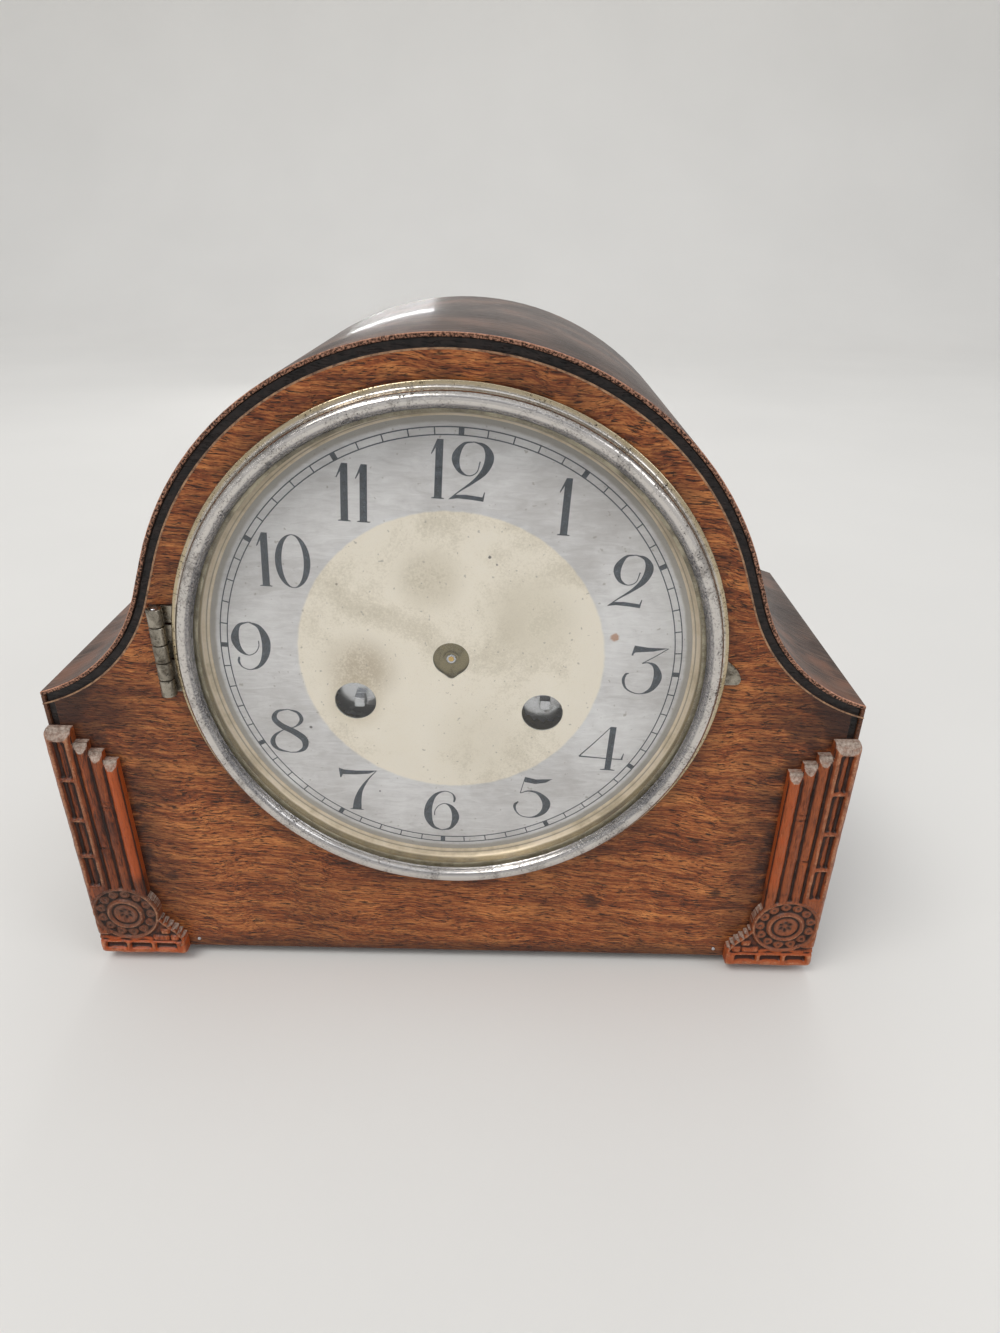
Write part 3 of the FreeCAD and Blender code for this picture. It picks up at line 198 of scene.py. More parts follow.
class Paint(Nodes):
    """A material under construction. Constants go straight on the shader's sockets."""

    def __init__(self, name, **fixed):
        self.material = bpy.data.materials.new(name)
        self.material.use_nodes = True
        super().__init__(self.material.node_tree)
        self.shader = self.tree.nodes["Principled BSDF"]
        for socket, value in fixed.items():
            self.shader.inputs[socket.replace("_", " ")].default_value = value
        coords = self.node("ShaderNodeTexCoord", {}, {}, "Object")
        # Place on the piece in millimetres, from the middle of the dial
        self.place = self.node("ShaderNodeVectorMath", {"operation": "SCALE"}, {
            0: self.vector("SUBTRACT", coords, tuple(CENTRE)), "Scale": 1 / MM})
        self.colour = None

    def noise(self, scale, detail=3.0, rough=0.5, twist=0.0, place=None):
        """Noise on the piece. scale is one number, or one for each axis."""
        scale = scale if isinstance(scale, tuple) else (scale,) * 3
        return self.node("ShaderNodeTexNoise", {}, {
            "Vector": self.vector("MULTIPLY", place or self.place, scale), "Scale": 1.0,
            "Detail": detail, "Roughness": rough, "Distortion": twist})

    def ramp(self, value, *stops):
        rows = [(place, rgb(colour)) for place, colour in stops]
        return self.node("ShaderNodeValToRGB", {"stops": rows}, {0: value}, "Color")

    def blend(self, share, first, second):
        return self.node("ShaderNodeMix", {"data_type": "RGBA"},
                         {0: share, 6: rgb(first), 7: rgb(second)}, 2)

    def over(self, share, tone):
        """Lays a tone over the colour so far, where share is 1."""
        self.colour = self.blend(share, self.colour, tone)

    def attribute(self, name):
        return self.node("ShaderNodeAttribute", {"attribute_name": name}, {}, "Fac")

    def distance(self, x, z, at_x=0.0, at_z=0.0):
        dx = x - at_x
        dz = z - at_z
        return (dx * dx + dz * dz) ** 0.5

    def finish(self, rough, bump, depth=0.1, metal=None, coat=None):
        """Links the patterns to the shader. depth is the bump's height in millimetres."""
        for name, value in (("Base Color", self.colour), ("Roughness", rough),
                            ("Metallic", metal), ("Coat Weight", coat)):
            if value is not None:
                self.put(self.shader.inputs[name], value)
        if bump is not None:
            self.put(self.shader.inputs["Normal"], self.node("ShaderNodeBump", {}, {
                "Height": bump, "Distance": depth * MM, "Strength": 1.0}))
        return self.material


def rgb(value):
    """The linear colour that nodes use, from a colour's name in the panel or 0..255 values."""
    if isinstance(value, Link):
        return value
    if isinstance(value, str):
        value = [v * 255 for v in getattr(bpy.context.scene.clock_colours, value)]
    return tuple(((v / 255 + 0.055) / 1.055) ** 2.4 if v > 10 else v / 255 / 12.92
                 for v in value) + (1.0,)


def wood(name, dark, mid, light, along, grain=1.0, rough=0.42, fleck=0.6, seed=0.0, slant=0.0):
    """Straight-grained wood. along is the axis of the grain: 0, 1 or 2."""
    paint = Paint(name, Coat_Roughness=0.3, Coat_IOR=1.5, Specular_IOR_Level=0.28)
    place = paint.vector("ADD", paint.place, (seed, seed * 0.7, seed * 1.3))
    if slant:
        x, y, z = paint.axes(place)
        place = paint.join(x, y, z + x * slant)
    drift = paint.noise(0.02, place=place) - 0.5
    waved = paint.vector("ADD", place, paint.join(0.0, drift * 9, drift * 14))

    def figure(across, down, detail=3.0, rough=0.5, twist=0.0):
        """Noise that is fine across the grain and long down it."""
        scale = [across * grain] * 3
        scale[along] = down * grain
        return paint.noise(tuple(scale), detail, rough, twist, waved)

    fibre = figure(1.6, 0.09, 6.0, 0.62, 0.4)
    threads = figure(5.0, 0.5, 3.0, 0.6)
    tone = fibre * 0.55 + threads * 0.25 + figure(0.22, 0.02) * 0.35
    paint.colour = paint.ramp(tone.span(0.36, 0.78), (0.0, dark), (0.42, mid), (1.0, light))
    pores = figure(2.3, 0.24, 3.0, 0.55).span(0.56, 0.64)
    ticks = figure(4.6, 0.42, 2.0).span(0.60, 0.66)
    paint.over(pores.most(ticks) * fleck, [v * 0.45 for v in dark])
    paint.over(paint.noise(0.03, 4.0, place=place).span(0.42, 0.68) * 0.35, dark)
    shine = threads.span(0.3, 0.8, rough - 0.10, rough + 0.14)
    return paint, shine, fibre * 0.5 + threads * 0.3 - pores * 0.9


def plain_wood(name, *tones, coat=0.15, **settings):
    paint, shine, height = wood(name, *tones, **settings)
    return paint.finish(shine, height, 0.12, coat=coat)


def edge_inset(paint, x, z):
    """How far a point of the front lies inside the case's upper outline."""
    reach = x.reach()
    arch = ARC - paint.distance(x, z)
    sweep = paint.distance(reach, z, *SWEEP_CENTRE) - SWEEP
    above = (z - reach / math.tan(ARC_HALF)).span(-0.5, 0.5)
    return arch * above + sweep * (1.0 - above)


def veneer():
    """Oak veneer of the front board, with the ebonised band along its upper edge."""
    paint, shine, height = wood("oak_veneer", (60, 28, 14), "oak", (216, 140, 77), 0,
                                fleck=0.9, slant=0.09)
    x, y, z = paint.axes(paint.place)
    rays = paint.noise((0.35, 1.0, 3.6), 2.0, 0.5, 0.6).span(0.60, 0.72)
    paint.over(rays * 0.35, (226, 160, 98))
    middle = paint.distance(x, z)
    reach = x.reach()
    cloud = paint.noise((0.09, 0.09, 0.16), 4.0, 0.6)
    # Darker places: a patchy ring of painted shade round the bezel, the bottom edge, the lower
    # sides, painted shade in the nook under each end of the cover (corner) and painted shade
    # beside the carved corners (beside).
    soil_and_shade = middle.span(82.0, 92.0, 0.5, 0.0) * cloud.span(0.35, 0.6)
    low = z.span(-117.0, -110.0, 0.7, 0.0)
    sides = reach.span(84.0, 112.0, 0.0, 0.75) * z.span(10.0, -14.0) * cloud.span(0.30, 0.52)
    corner = (reach + z * 0.5).span(96.0, 108.0, 0.0, 0.9) * z.span(-29.0, -24.0)
    beside = reach.span(99.0, 105.0, 0.0, 0.9) * cloud.span(0.42, 0.56)
    marks = soil_and_shade.most(low).most(sides).most(corner).most(beside * z.span(-24.0, -40.0))
    for at_x, at_z, wide in ((48.0, -93.0, 4.5), (91.0, -88.0, 3.4), (-98.0, -84.0, 5.0)):
        blot = paint.distance(x, z, at_x, at_z) + (cloud - 0.5) * 14
        marks = marks.most(blot.span(wide, wide * 0.3, 0.0, 0.75))
    # marks holds that painted shade together with the three dark knots and the darker bottom and
    # sides.
    paint.over(marks, (44, 22, 15))
    black = y.span(0.40, 0.55) * y.span(1.6, 1.4) * middle.span(81.0, 82.0)
    paint.over(black, paint.ramp(paint.noise(0.6, 4.0), (0.3, (12, 9, 9)),
                                 (0.75, (44, 33, 30))))
    worn = paint.noise((0.15, 1.0, 2.2), 5.0, 0.7).span(0.66, 0.74)
    paint.over(worn * 0.6, (190, 150, 118))
    return paint.finish(shine, height, 0.16, coat=0.15)


def cover_finish():
    """Dark stained cover: grain that runs round the bend, a thin worn line in front."""
    paint = Paint("dark_cover", Coat_Roughness=0.10, Coat_IOR=1.5, Specular_IOR_Level=0.06)
    x, y, z = paint.axes(paint.place)
    streak = paint.noise((0.06, 0.8, 0.06), 6.0, 0.65, 0.5)
    fine = paint.noise((0.5, 4.0, 0.5), 4.0, 0.6)
    blot = paint.noise(0.05, 4.0)
    grit = paint.noise(1.5, 4.0, 0.7)
    paint.colour = paint.ramp((streak * 0.5 + fine * 0.25 + blot * 0.45).span(0.38, 0.82),
                              (0.0, (36, 26, 23)), (0.5, "cover"), (1.0, (122, 100, 88)))
    paint.over(blot.span(0.52, 0.70) * x.reach().span(70.0, 100.0, 0.25, 0.6), (124, 84, 66))
    scratch = paint.noise((0.4, 5.0, 0.4), 3.0, 0.6, 1.0).span(0.66, 0.72)
    paint.over(scratch * 0.35, (160, 144, 134))
    inset = edge_inset(paint, x, z)
    front = y.span(0.60, 0.35)
    paint.over(front * inset.span(0.10, 0.35),
               paint.ramp(grit, (0.3, (20, 14, 13)), (0.8, (52, 38, 33))))
    line = front * inset.span(0.34, 0.16) * (streak + grit * 0.4).span(0.50, 0.74)
    side = y.span(0.35, 0.12) * grit.span(0.42, 0.58) * 0.7
    paint.over(line.most(side), paint.ramp(grit, (0.3, (128, 78, 58)), (0.7, (214, 162, 134))))
    return paint.finish(fine.span(0.3, 0.75, 0.30, 0.52), streak + fine * 0.5, 0.08, coat=0.14)


def carved_finish():
    """Carved wood: dirt in the hollows, pale worn arrises, dusty upward end grain."""
    paint, shine, height = wood("carved_wood", (28, 11, 7), "carving", (178, 94, 45), 2,
                                grain=1.3, rough=0.40, fleck=0.5, seed=31.0)
    x, y, z = paint.axes(paint.place)
    relief = paint.attribute("relief")
    wall = paint.attribute("wall")
    patch = paint.noise(0.25, 4.0, 0.6)
    grit = paint.noise(1.4, 4.0, 0.7)
    streak = paint.noise((0.30, 0.30, 0.03), 4.0, 0.6)
    paint.over(streak.span(0.42, 0.62, 0.0, 0.36) * z.span(-98.0, -94.0), (50, 22, 14))
    inner = x.reach().span(112.2, 110.6) * z.span(-86.0, -80.0)
    foot = z.span(-108.0, -112.0) * patch.span(0.30, 0.50)
    paint.over(inner.most(foot) * 0.7, (188, 84, 30))
    disc = paint.distance(x.reach(), z, HALF_WIDTH - DISC[0], BOTTOM + DISC[1])
    paint.over(disc.span(DISC[2] + 0.6, DISC[2] - 0.6) * patch.span(0.30, 0.60, 0.25, 0.75),
               (104, 72, 56))
    paint.over(relief.span(0.50, 0.34) * 0.9, (26, 13, 10))
    # Painted light: the right corner's raised parts lighter than the left's.
    painted_light_right = x.span(-1.0, 1.0, 0.0, 0.55) * patch.span(0.30, 0.60)
    paint.over(painted_light_right * relief.span(0.42, 0.55), (160, 84, 42))
    worn = (relief + (grit - 0.5) * 0.30 + (patch - 0.5) * 0.20).span(0.64, 0.88)
    paint.over(worn * 0.65, paint.ramp(grit, (0.25, (158, 92, 54)), (0.75, (220, 170, 132))))
    dust = paint.ramp(paint.noise(0.8, 4.0, 0.7), (0.3, (124, 100, 86)), (0.7, (204, 188, 174)))
    paint.over(wall * grit.span(0.25, 0.6, 0.55, 0.95), dust)
    return paint.finish((shine + wall * 0.25).clamp(), height + grit * 0.4, 0.14,
                        coat=wall.span(0.3, 0.7, 0.18, 0.0))


def dial_finish():
    """Painted dial: grey numeral ring, cream middle, stains, pinholes and a rust spot."""
    paint = Paint("dial_face", Specular_IOR_Level=0.4)
    x, y, z = paint.axes(paint.place)
    cloud = paint.noise(0.035, 5.0, 0.6, 0.4)
    speck = paint.noise(1.6, 4.0, 0.7)
    scuff = paint.noise((0.12, 0.12, 0.5), 5.0, 0.65, 1.0)
    cream = paint.ramp((cloud * 0.7 + speck * 0.3).span(0.3, 0.7), (0.0, (208, 198, 178)),
                       (0.5, "dial_middle"), (1.0, (243, 235, 220)))
    grey = paint.ramp((cloud * 0.6 + scuff * 0.4).span(0.32, 0.7), (0.0, (192, 189, 188)),
                      (0.5, "dial_ring"), (1.0, (231, 230, 230)))
    ragged = paint.distance(x, z) + (paint.noise(0.3, 4.0) - 0.5) * 0.8
    paint.colour = paint.blend(ragged.span(46.0, 46.8), cream, grey)
    paint.over(ragged.span(70.4, 71.4) * 0.8, (158, 151, 140))
    for at_x, at_z, wide, share, tone in (
            (-28.0, -4.0, 15.0, 0.40, (176, 160, 134)), (-6.0, 26.0, 13.0, 0.32, (180, 168, 142)),
            (24.0, 14.0, 18.0, 0.25, (186, 176, 150)), (-30.4, -15.9, 12.0, 0.30, (190, 172, 140)),
            (9.0, -30.0, 20.0, 0.12, (190, 180, 156))):
        stain = paint.distance(x, z, at_x, at_z).span(wide, wide * 0.2)
        paint.over(stain * (speck * 0.5 + cloud * 0.6).span(0.40, 0.66) * share * 2, tone)
    for at_x, at_z, wide, tone in (
            (11.6, 33.0, 0.55, (40, 36, 32)), (13.6, 30.8, 0.35, (96, 88, 76)),
            (-44.9, -24.9, 0.6, (22, 20, 20)), (-24.3, -49.2, 0.4, (90, 84, 84)),
            (49.0, 8.4, 1.6, (176, 128, 96)), (-33.0, 24.0, 0.5, (150, 138, 116))):
        spot = paint.distance(x, z, at_x, at_z) + (speck - 0.5) * wide
        paint.over(spot.span(wide, wide * 0.6) * 0.85, tone)
    paint.over(paint.noise(0.75, 1.0).span(0.73, 0.77) * 0.5, (138, 130, 118))
    bare = y.span(DIAL_FACE + 0.06, DIAL_FACE + 0.12)
    paint.over(bare, (208, 206, 200))
    return paint.finish(scuff.span(0.3, 0.8, 0.34, 0.55), scuff * 0.6 + speck * 0.2, 0.05,
                        metal=bare * 0.8)


def ink_finish():
    paint = Paint("numeral_ink")
    rub = paint.noise(0.5, 5.0, 0.7)
    dots = paint.noise(3.0, 3.0, 0.7)
    paint.colour = paint.ramp((rub * 0.6 + dots * 0.4).span(0.35, 0.72), (0.0, (38, 45, 53)),
                              (0.65, "ink"), (1.0, (112, 120, 130)))
    return paint.finish(dots.span(0.3, 0.8, 0.35, 0.6), dots, 0.02)


def surround_finish():
    """Lacquered ring: cream next to the dial; under the bezel's lip, browned brass darkened by
    painted shade.
    """
    paint = Paint("surround_cream", Specular_IOR_Level=0.5)
    x, y, z = paint.axes(paint.place)
    radius = paint.distance(x, z)
    spin = paint.noise(1.0, 3.0, 0.6, place=paint.join(radius * 3.0, 0.0, 0.0))
    soil_and_shade = paint.noise(0.12, 5.0, 0.65)
    pale = paint.ramp((soil_and_shade * 0.7 + spin * 0.4).span(0.35, 0.75), (0.0, (172, 155, 124)),
                      (0.5, (211, 194, 166)), (1.0, (226, 211, 190)))
    # Under the bezel's lip: browned brass, darkened further as painted shade.
    brown_and_shade = paint.ramp(soil_and_shade, (0.3, (88, 72, 42)), (0.7, (142, 124, 82)))
    paint.colour = paint.blend((radius + (soil_and_shade - 0.5) * 0.6).span(74.5, 75.0), pale, brown_and_shade)
    line = radius.span(73.2, 73.4) * radius.span(73.75, 73.55)
    paint.over(line * 0.6, (104, 96, 84))
    return paint.finish(soil_and_shade.span(0.3, 0.7, 0.28, 0.5), spin + soil_and_shade * 0.5, 0.04, metal=0.35)


def metal(name, pale, dark, rough, tarnish, scale=1.0, pits=0.0, rim=None):
    """Worn metal. tarnish is how much of it is dull, pits how strongly it is eaten."""
    paint = Paint(name)
    film = paint.noise(0.12 * scale, 5.0, 0.65, 0.5)
    grain = paint.noise(2.2 * scale, 4.0, 0.7)
    dull = (film * 0.7 + grain * 0.3).span(0.62 - tarnish * 0.4, 0.80 - tarnish * 0.2)
    paint.colour = paint.blend(dull, pale, dark)
    height = grain * 0.3
    shine = (dull + grain * 0.3).span(0.2, 1.1, rough, min(0.85, rough + 0.35))
    if rim:
        # From the board inwards: yellowed rim, brown skirt, and painted shade with dark reflection
        # on the inner flank
        x, y, z = paint.axes(paint.place)
        radius = paint.distance(x, z)
        paint.over((radius + (grain - 0.5) * 1.2).span(80.6, 81.8) * 0.75, rim)
        skirt = radius.span(79.2, 79.9) * radius.span(80.8, 80.4)
        paint.over(skirt * grain.span(0.35, 0.65, 0.25, 0.75), (122, 113, 99))
        # Painted shade and dark reflection on the inner flank, weaker towards the bottom.
        shaded_flank = (radius + (grain - 0.5) * 0.6).span(77.5, 77.0) * z.span(-72.0, -40.0, 0.25, 0.9)
        paint.over(shaded_flank * grain.span(0.35, 0.65, 0.35, 0.9), (86, 88, 97))
    if pits:
        eaten = paint.noise(1.5, 5.0, 0.8).span(0.54, 0.64) * film.span(0.38, 0.56) * pits
        paint.over(eaten, [v * 0.35 for v in dark])
        shine = (shine + eaten * 0.35).clamp()
        height = height - eaten
    return paint.finish(shine, height, 0.06, metal=dull.span(0.0, 1.0, 1.0, 0.82))


def glass_finish():
    """Clear glass. Lamps pass straight through, so that the dial is lit as in air."""
    paint = Paint("glass_clear", Transmission_Weight=1.0, IOR=1.45,
                  Base_Color=(0.995, 0.997, 0.992, 1.0))
    smear = paint.noise(0.05, 4.0, 0.6, 1.0)
    clear = paint.node("ShaderNodeBsdfTransparent", {}, {0: (0.99, 0.99, 0.985, 1.0)})
    mixed = paint.node("ShaderNodeMixShader", {}, {
        0: paint.node("ShaderNodeLightPath", {}, {}, "Is Shadow Ray"),
        1: Link(paint, paint.shader.outputs[0]), 2: clear})
    paint.put(paint.tree.nodes["Material Output"].inputs["Surface"], mixed)
    return paint.finish(smear.span(0.45, 0.75, 0.0, 0.04), None)


def floor_finish():
    paint = Paint("pale_floor", Specular_IOR_Level=0.2)
    tone = (226, 224, 220)
    paint.colour = paint.ramp(paint.noise(0.004), (0.3, [v * 0.985 for v in tone]), (0.7, tone))
    return paint.finish(0.75, None)


def line_finish():
    """Pale inlay, worn through to brown."""
    paint = Paint("pale_line")
    wear = paint.noise(0.4, 5.0, 0.7)
    paint.colour = paint.ramp(wear, (0.35, (84, 54, 38)), (0.6, (172, 132, 98)))
    return paint.finish(wear.span(0.3, 0.7, 0.4, 0.6), wear, 0.03)


PAINTED = {"oak_veneer": veneer, "dark_cover": cover_finish, "carved_wood": carved_finish,
           "dial_face": dial_finish, "numeral_ink": ink_finish, "glass_clear": glass_finish,
           "surround_cream": surround_finish, "pale_line": line_finish,
           "pale_floor": floor_finish}
# Dark, middle and light tone, the axis of the grain, and the rest of wood()'s settings
WOODS = {
    "carcass_wood": ((58, 34, 20), (118, 76, 46), (168, 122, 80), 0,
                     {"grain": 0.8, "rough": 0.62, "fleck": 0.5, "coat": 0.0, "seed": 57.0}),
    "side_wood": ((36, 20, 14), (82, 48, 32), (124, 80, 54), 1,
                  {"grain": 0.9, "rough": 0.44, "fleck": 0.5, "seed": 83.0}),
    "door_wood": ((84, 54, 32), (152, 108, 68), (196, 152, 104), 2,
                  {"grain": 0.7, "rough": 0.62, "fleck": 0.45, "coat": 0.0, "seed": 11.0}),
}
# Clean and dull tone, roughness, tarnish, and the rest of metal()'s settings
METALS = {
    "bezel_nickel": ("nickel", (118, 112, 107), 0.12, 0.38,
                     {"pits": 1.0, "rim": (184, 164, 122)}),
    "hinge_nickel": ((164, 157, 144), (98, 90, 78), 0.26, 0.55, {"scale": 2.0, "pits": 0.8}),
    "dull_brass": ((188, 178, 152), (138, 127, 100), 0.38, 0.7, {}),
    "plain_brass": ((204, 170, 98), (140, 104, 52), 0.26, 0.4, {}),
    "wheel_brass": ("brass", (150, 112, 58), 0.22, 0.35, {"scale": 1.6}),
    "plate_brass": ((142, 132, 102), (116, 107, 84), 0.40, 0.6, {"scale": 0.8}),
    "bright_steel": ((196, 198, 202), (120, 116, 112), 0.22, 0.35, {"scale": 1.6}),
    "blued_steel": ((62, 72, 104), (52, 46, 58), 0.30, 0.4, {}),
    "dark_iron": ((74, 72, 70), (54, 40, 32), 0.48, 0.5, {}),
    "door_steel": ((150, 134, 104), (96, 76, 48), 0.36, 0.5, {}),
}
FINISH = {}


def finish(name):
    """A material, made when it is first asked for."""
    if name not in FINISH:
        if name in PAINTED:
            FINISH[name] = PAINTED[name]()
        else:
            make, table = (metal, METALS) if name in METALS else (plain_wood, WOODS)
            *values, settings = table[name]
            FINISH[name] = make(name, *values, **settings)
    return FINISH[name]


# ---------------------------------------------------------------- shapes

def settle(piece, body, slot, *nodes):
    """Ties a finished piece to its body and hides the nodes that it stands for. slot is not used.
    """
    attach(piece, body)
    if nodes:
        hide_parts(*nodes)
    return piece


def mesh_of(name, bm):
    mesh = bpy.data.meshes.new(name)
    bm.to_mesh(mesh)
    bm.free()
    return mesh


def bmesh_of(*meshes):
    """One bmesh with the shapes of all the meshes."""
    bm = bmesh.new()
    for mesh in meshes:
        bm.from_mesh(mesh)
    return bm


def linked(name, data):
    """An object in the scene."""
    made = bpy.data.objects.new(name, data)
    bpy.context.scene.collection.objects.link(made)
    return made


def final_mesh(piece):
    """A piece's mesh with its modifiers applied; the piece itself goes."""
    graph = bpy.context.evaluated_depsgraph_get()
    mesh = bpy.data.meshes.new_from_object(piece.evaluated_get(graph))
    bpy.data.objects.remove(piece)
    return mesh


def piece_of(name, mesh, material, smooth=32.0):
    """The object of a mesh. Edges that turn more than smooth degrees stay sharp."""
    mesh.materials.clear()
    mesh.materials.append(finish(material))
    mesh.shade_smooth()
    mesh.set_sharp_from_angle(angle=math.radians(smooth))
    return linked(name, mesh)


def flat_faces(bm, angle=0.56):
    """Numbers of the plane faces: those that only narrow eased edges run into."""
    flat = []
    for index, face in enumerate(bm.faces):
        area = face.calc_area()
        beside = [other.calc_area() for edge in face.edges for other in edge.link_faces
                  if other is not face and 0.003 < edge.calc_face_angle(0.0) < angle]
        if all(other < area * 0.3 for other in beside):
            flat.append(index)
    return flat


def shaped(name, bm, material, smooth=32.0):
    """The object of a finished bmesh, with its plane faces shaded flat."""
    flat = flat_faces(bm)
    piece = piece_of(name, mesh_of(name, bm), material, smooth)
    for index in flat:
        piece.data.polygons[index].use_smooth = False
    return piece


def closed(name, bm, material, smooth=32.0, weld=0.0005):
    """Welds a piece's own mesh, turns its faces outwards and makes the object."""
    bmesh.ops.remove_doubles(bm, verts=bm.verts, dist=weld * MM)
    bmesh.ops.dissolve_degenerate(bm, edges=bm.edges, dist=weld * MM / 2)
    bmesh.ops.recalc_face_normals(bm, faces=bm.faces)
    return shaped(name, bm, material, smooth)


def rounded_edges(bm, width, segments=2):
    """Eases every edge that turns more than 30 degrees."""
    sharp = [edge for edge in bm.edges
             if len(edge.link_faces) == 2 and edge.calc_face_angle(0.0) > math.radians(30)]
    if sharp and width:
        bmesh.ops.bevel(bm, geom=sharp, offset=width * MM, offset_type="OFFSET",
                        segments=segments, profile=0.5, affect="EDGES", clamp_overlap=True)


def node_mesh(node):
    """A welded copy of a CAD node, with its flat faces whole again."""
    bm = bmesh_of(frame["nodes"][node].data)
    bmesh.ops.remove_doubles(bm, verts=bm.verts, dist=0.001 * MM)
    bmesh.ops.dissolve_limit(bm, angle_limit=math.radians(0.4), verts=bm.verts, edges=bm.edges,
                             delimit={"NORMAL"})
    return bm


def dressed(node, edge, material=None, segments=2):
    """A CAD node with its edges eased and its own finish."""
    bm = node_mesh(node)
    rounded_edges(bm, edge, segments)
    piece = shaped(node + "_dressed", bm, material or SLOT_OF[node])
    return settle(piece, BODY_OF[node], SLOT_OF[node], node)


def circle(radius, steps, middle=(0.0, 0.0)):
    return [(middle[0] + radius * math.cos(2 * math.pi * i / steps),
             middle[1] + radius * math.sin(2 * math.pi * i / steps)) for i in range(steps)]


def skin(bm, rings, around=True, caps=False):
    """Faces between each ring of points and the next. around closes the rings themselves."""
    count = len(rings[0])
    for first, second in zip(rings, rings[1:]):
        for at in range(count if around else count - 1):
            after = (at + 1) % count
            bm.faces.new((first[at], first[after], second[after], second[at]))
    if caps:
        bm.faces.new(rings[0])
        bm.faces.new(rings[-1])
    return bm


def lathe(profile, middle=(0.0, 0.0), axis="y", steps=96, loop=True):
    """Turns a profile of (radius, height) round an axis along y or z through middle."""
    bm = bmesh.new()
    rings = []
    for index in range(steps):
        turn = 2 * math.pi * index / steps
        ring = []
        for radius, height in profile:
            a = middle[0] + radius * math.cos(turn)
            b = middle[1] + radius * math.sin(turn)
            place = (a, height, b) if axis == "y" else (a, b, height)
            ring.append(bm.verts.new(to_frame(place)))
        rings.append(ring)
    return skin(bm, rings + rings[:1], around=loop)


def upper_edge(inset, steps=40):
    """The case's upper outline, left to right, moved inwards by inset."""
    reach = SWEEP + inset
    stop = math.asin((SWEEP_CENTRE[0] - HALF_WIDTH) / reach)
    half = []
    for i in range(steps + 1):
        turn = ARC_HALF * i / steps
        half.append(((ARC - inset) * math.sin(turn), (ARC - inset) * math.cos(turn)))
    for i in range(steps + 1):
        turn = ARC_HALF + (stop - ARC_HALF) * i / steps
        half.append((SWEEP_CENTRE[0] - reach * math.sin(turn),
                     SWEEP_CENTRE[1] - reach * math.cos(turn)))
    return [(-x, z) for x, z in half[:0:-1]] + half


def small_block(width, depth, height, eased=0.0, middle=(0.0, 0.0, 0.0)):
    """A block: width along x, depth along y, height along z. middle is in metres."""
    bm = bmesh.new()
    bmesh.ops.create_cube(bm, size=1.0, matrix=Matrix.Diagonal(
        (width * MM, depth * MM, height * MM, 1.0)))
    rounded_edges(bm, eased)
    bm.transform(Matrix.Translation(middle))
    return bm


def carve(bm, knife):
    """Cuts one bmesh out of another and returns the mesh that is left."""
    body = linked("carved", mesh_of("carved", bm))
    cutter = linked("cutter", mesh_of("cutter", knife))
    cut = body.modifiers.new("Cut", "BOOLEAN")
    cut.operation = "DIFFERENCE"
    cut.solver = "EXACT"
    cut.object = cutter
    mesh = final_mesh(body)
    bpy.data.objects.remove(cutter)
    return mesh


def screw_head(radius, height, slot_width, turn):
    """Slotted domed screw head, its face towards -y, about the origin in metres."""
    bm = bmesh.new()
    rows = ((radius, 0.0), (radius, -height * 0.45), (radius * 0.86, -height * 0.8),
            (radius * 0.55, -height), (slot_width / 2, -height))
    skin(bm, [[bm.verts.new((x * MM, level * MM, z * MM)) for x, z in circle(reach, 20)]
              for reach, level in rows], caps=True)
    bmesh.ops.recalc_face_normals(bm, faces=bm.faces)
    blade = small_block(radius * 2.4, height * 0.8, slot_width, middle=(0, -height * MM, 0))
    done = bmesh_of(carve(bm, blade))
    done.transform(Matrix.Rotation(turn, 4, "Y"))
    return done


# ---------------------------------------------------------------- repeated pieces

class Growth(Nodes):
    """A Geometry Nodes tree with named inputs. It ends in real copies with their finish."""

    def __init__(self, name, *inputs):
        super().__init__(bpy.data.node_groups.new(name, "GeometryNodeTree"))
        face = self.tree.interface
        face.new_socket("Geometry", in_out="OUTPUT", socket_type="NodeSocketGeometry")
        for label, kind in (("Geometry", "Geometry"), *inputs, ("Middle", "Vector"),
                            ("Finish", "Material")):
            face.new_socket(label, in_out="INPUT", socket_type="NodeSocket" + kind)
        self.given = self.node("NodeGroupInput", {}, {})

    def end(self, shape):
        real = self.node("GeometryNodeRealizeInstances", {}, {0: shape})
        coated = self.node("GeometryNodeSetMaterial", {}, {
            "Geometry": real, "Material": self.given.at("Finish")})
        self.put(self.tree.nodes.new("NodeGroupOutput").inputs[0], coated)
        return self.tree


def ring_tree():
    """Copies of a shape round an axis along y: count, radius, first angle."""
    grow = Growth("ring_of_copies", ("Count", "Int"), ("Radius", "Float"),
                  ("First angle", "Float"))
    given = grow.given.at
    share = grow.node("GeometryNodeInputIndex", {}, {}) / given("Count")
    turn = share * (2 * math.pi) + given("First angle")
    spot = grow.join(turn.maths("SINE", turn) * given("Radius"), 0.0,
                     turn.maths("COSINE", turn) * given("Radius"))
    points = grow.node("GeometryNodePoints", {}, {
        "Count": given("Count"), "Position": grow.vector("ADD", spot, given("Middle"))})
    return grow.end(grow.node("GeometryNodeInstanceOnPoints", {}, {
        "Points": points, "Instance": given("Geometry"),
        "Rotation": grow.join(0.0, turn, 0.0)}))


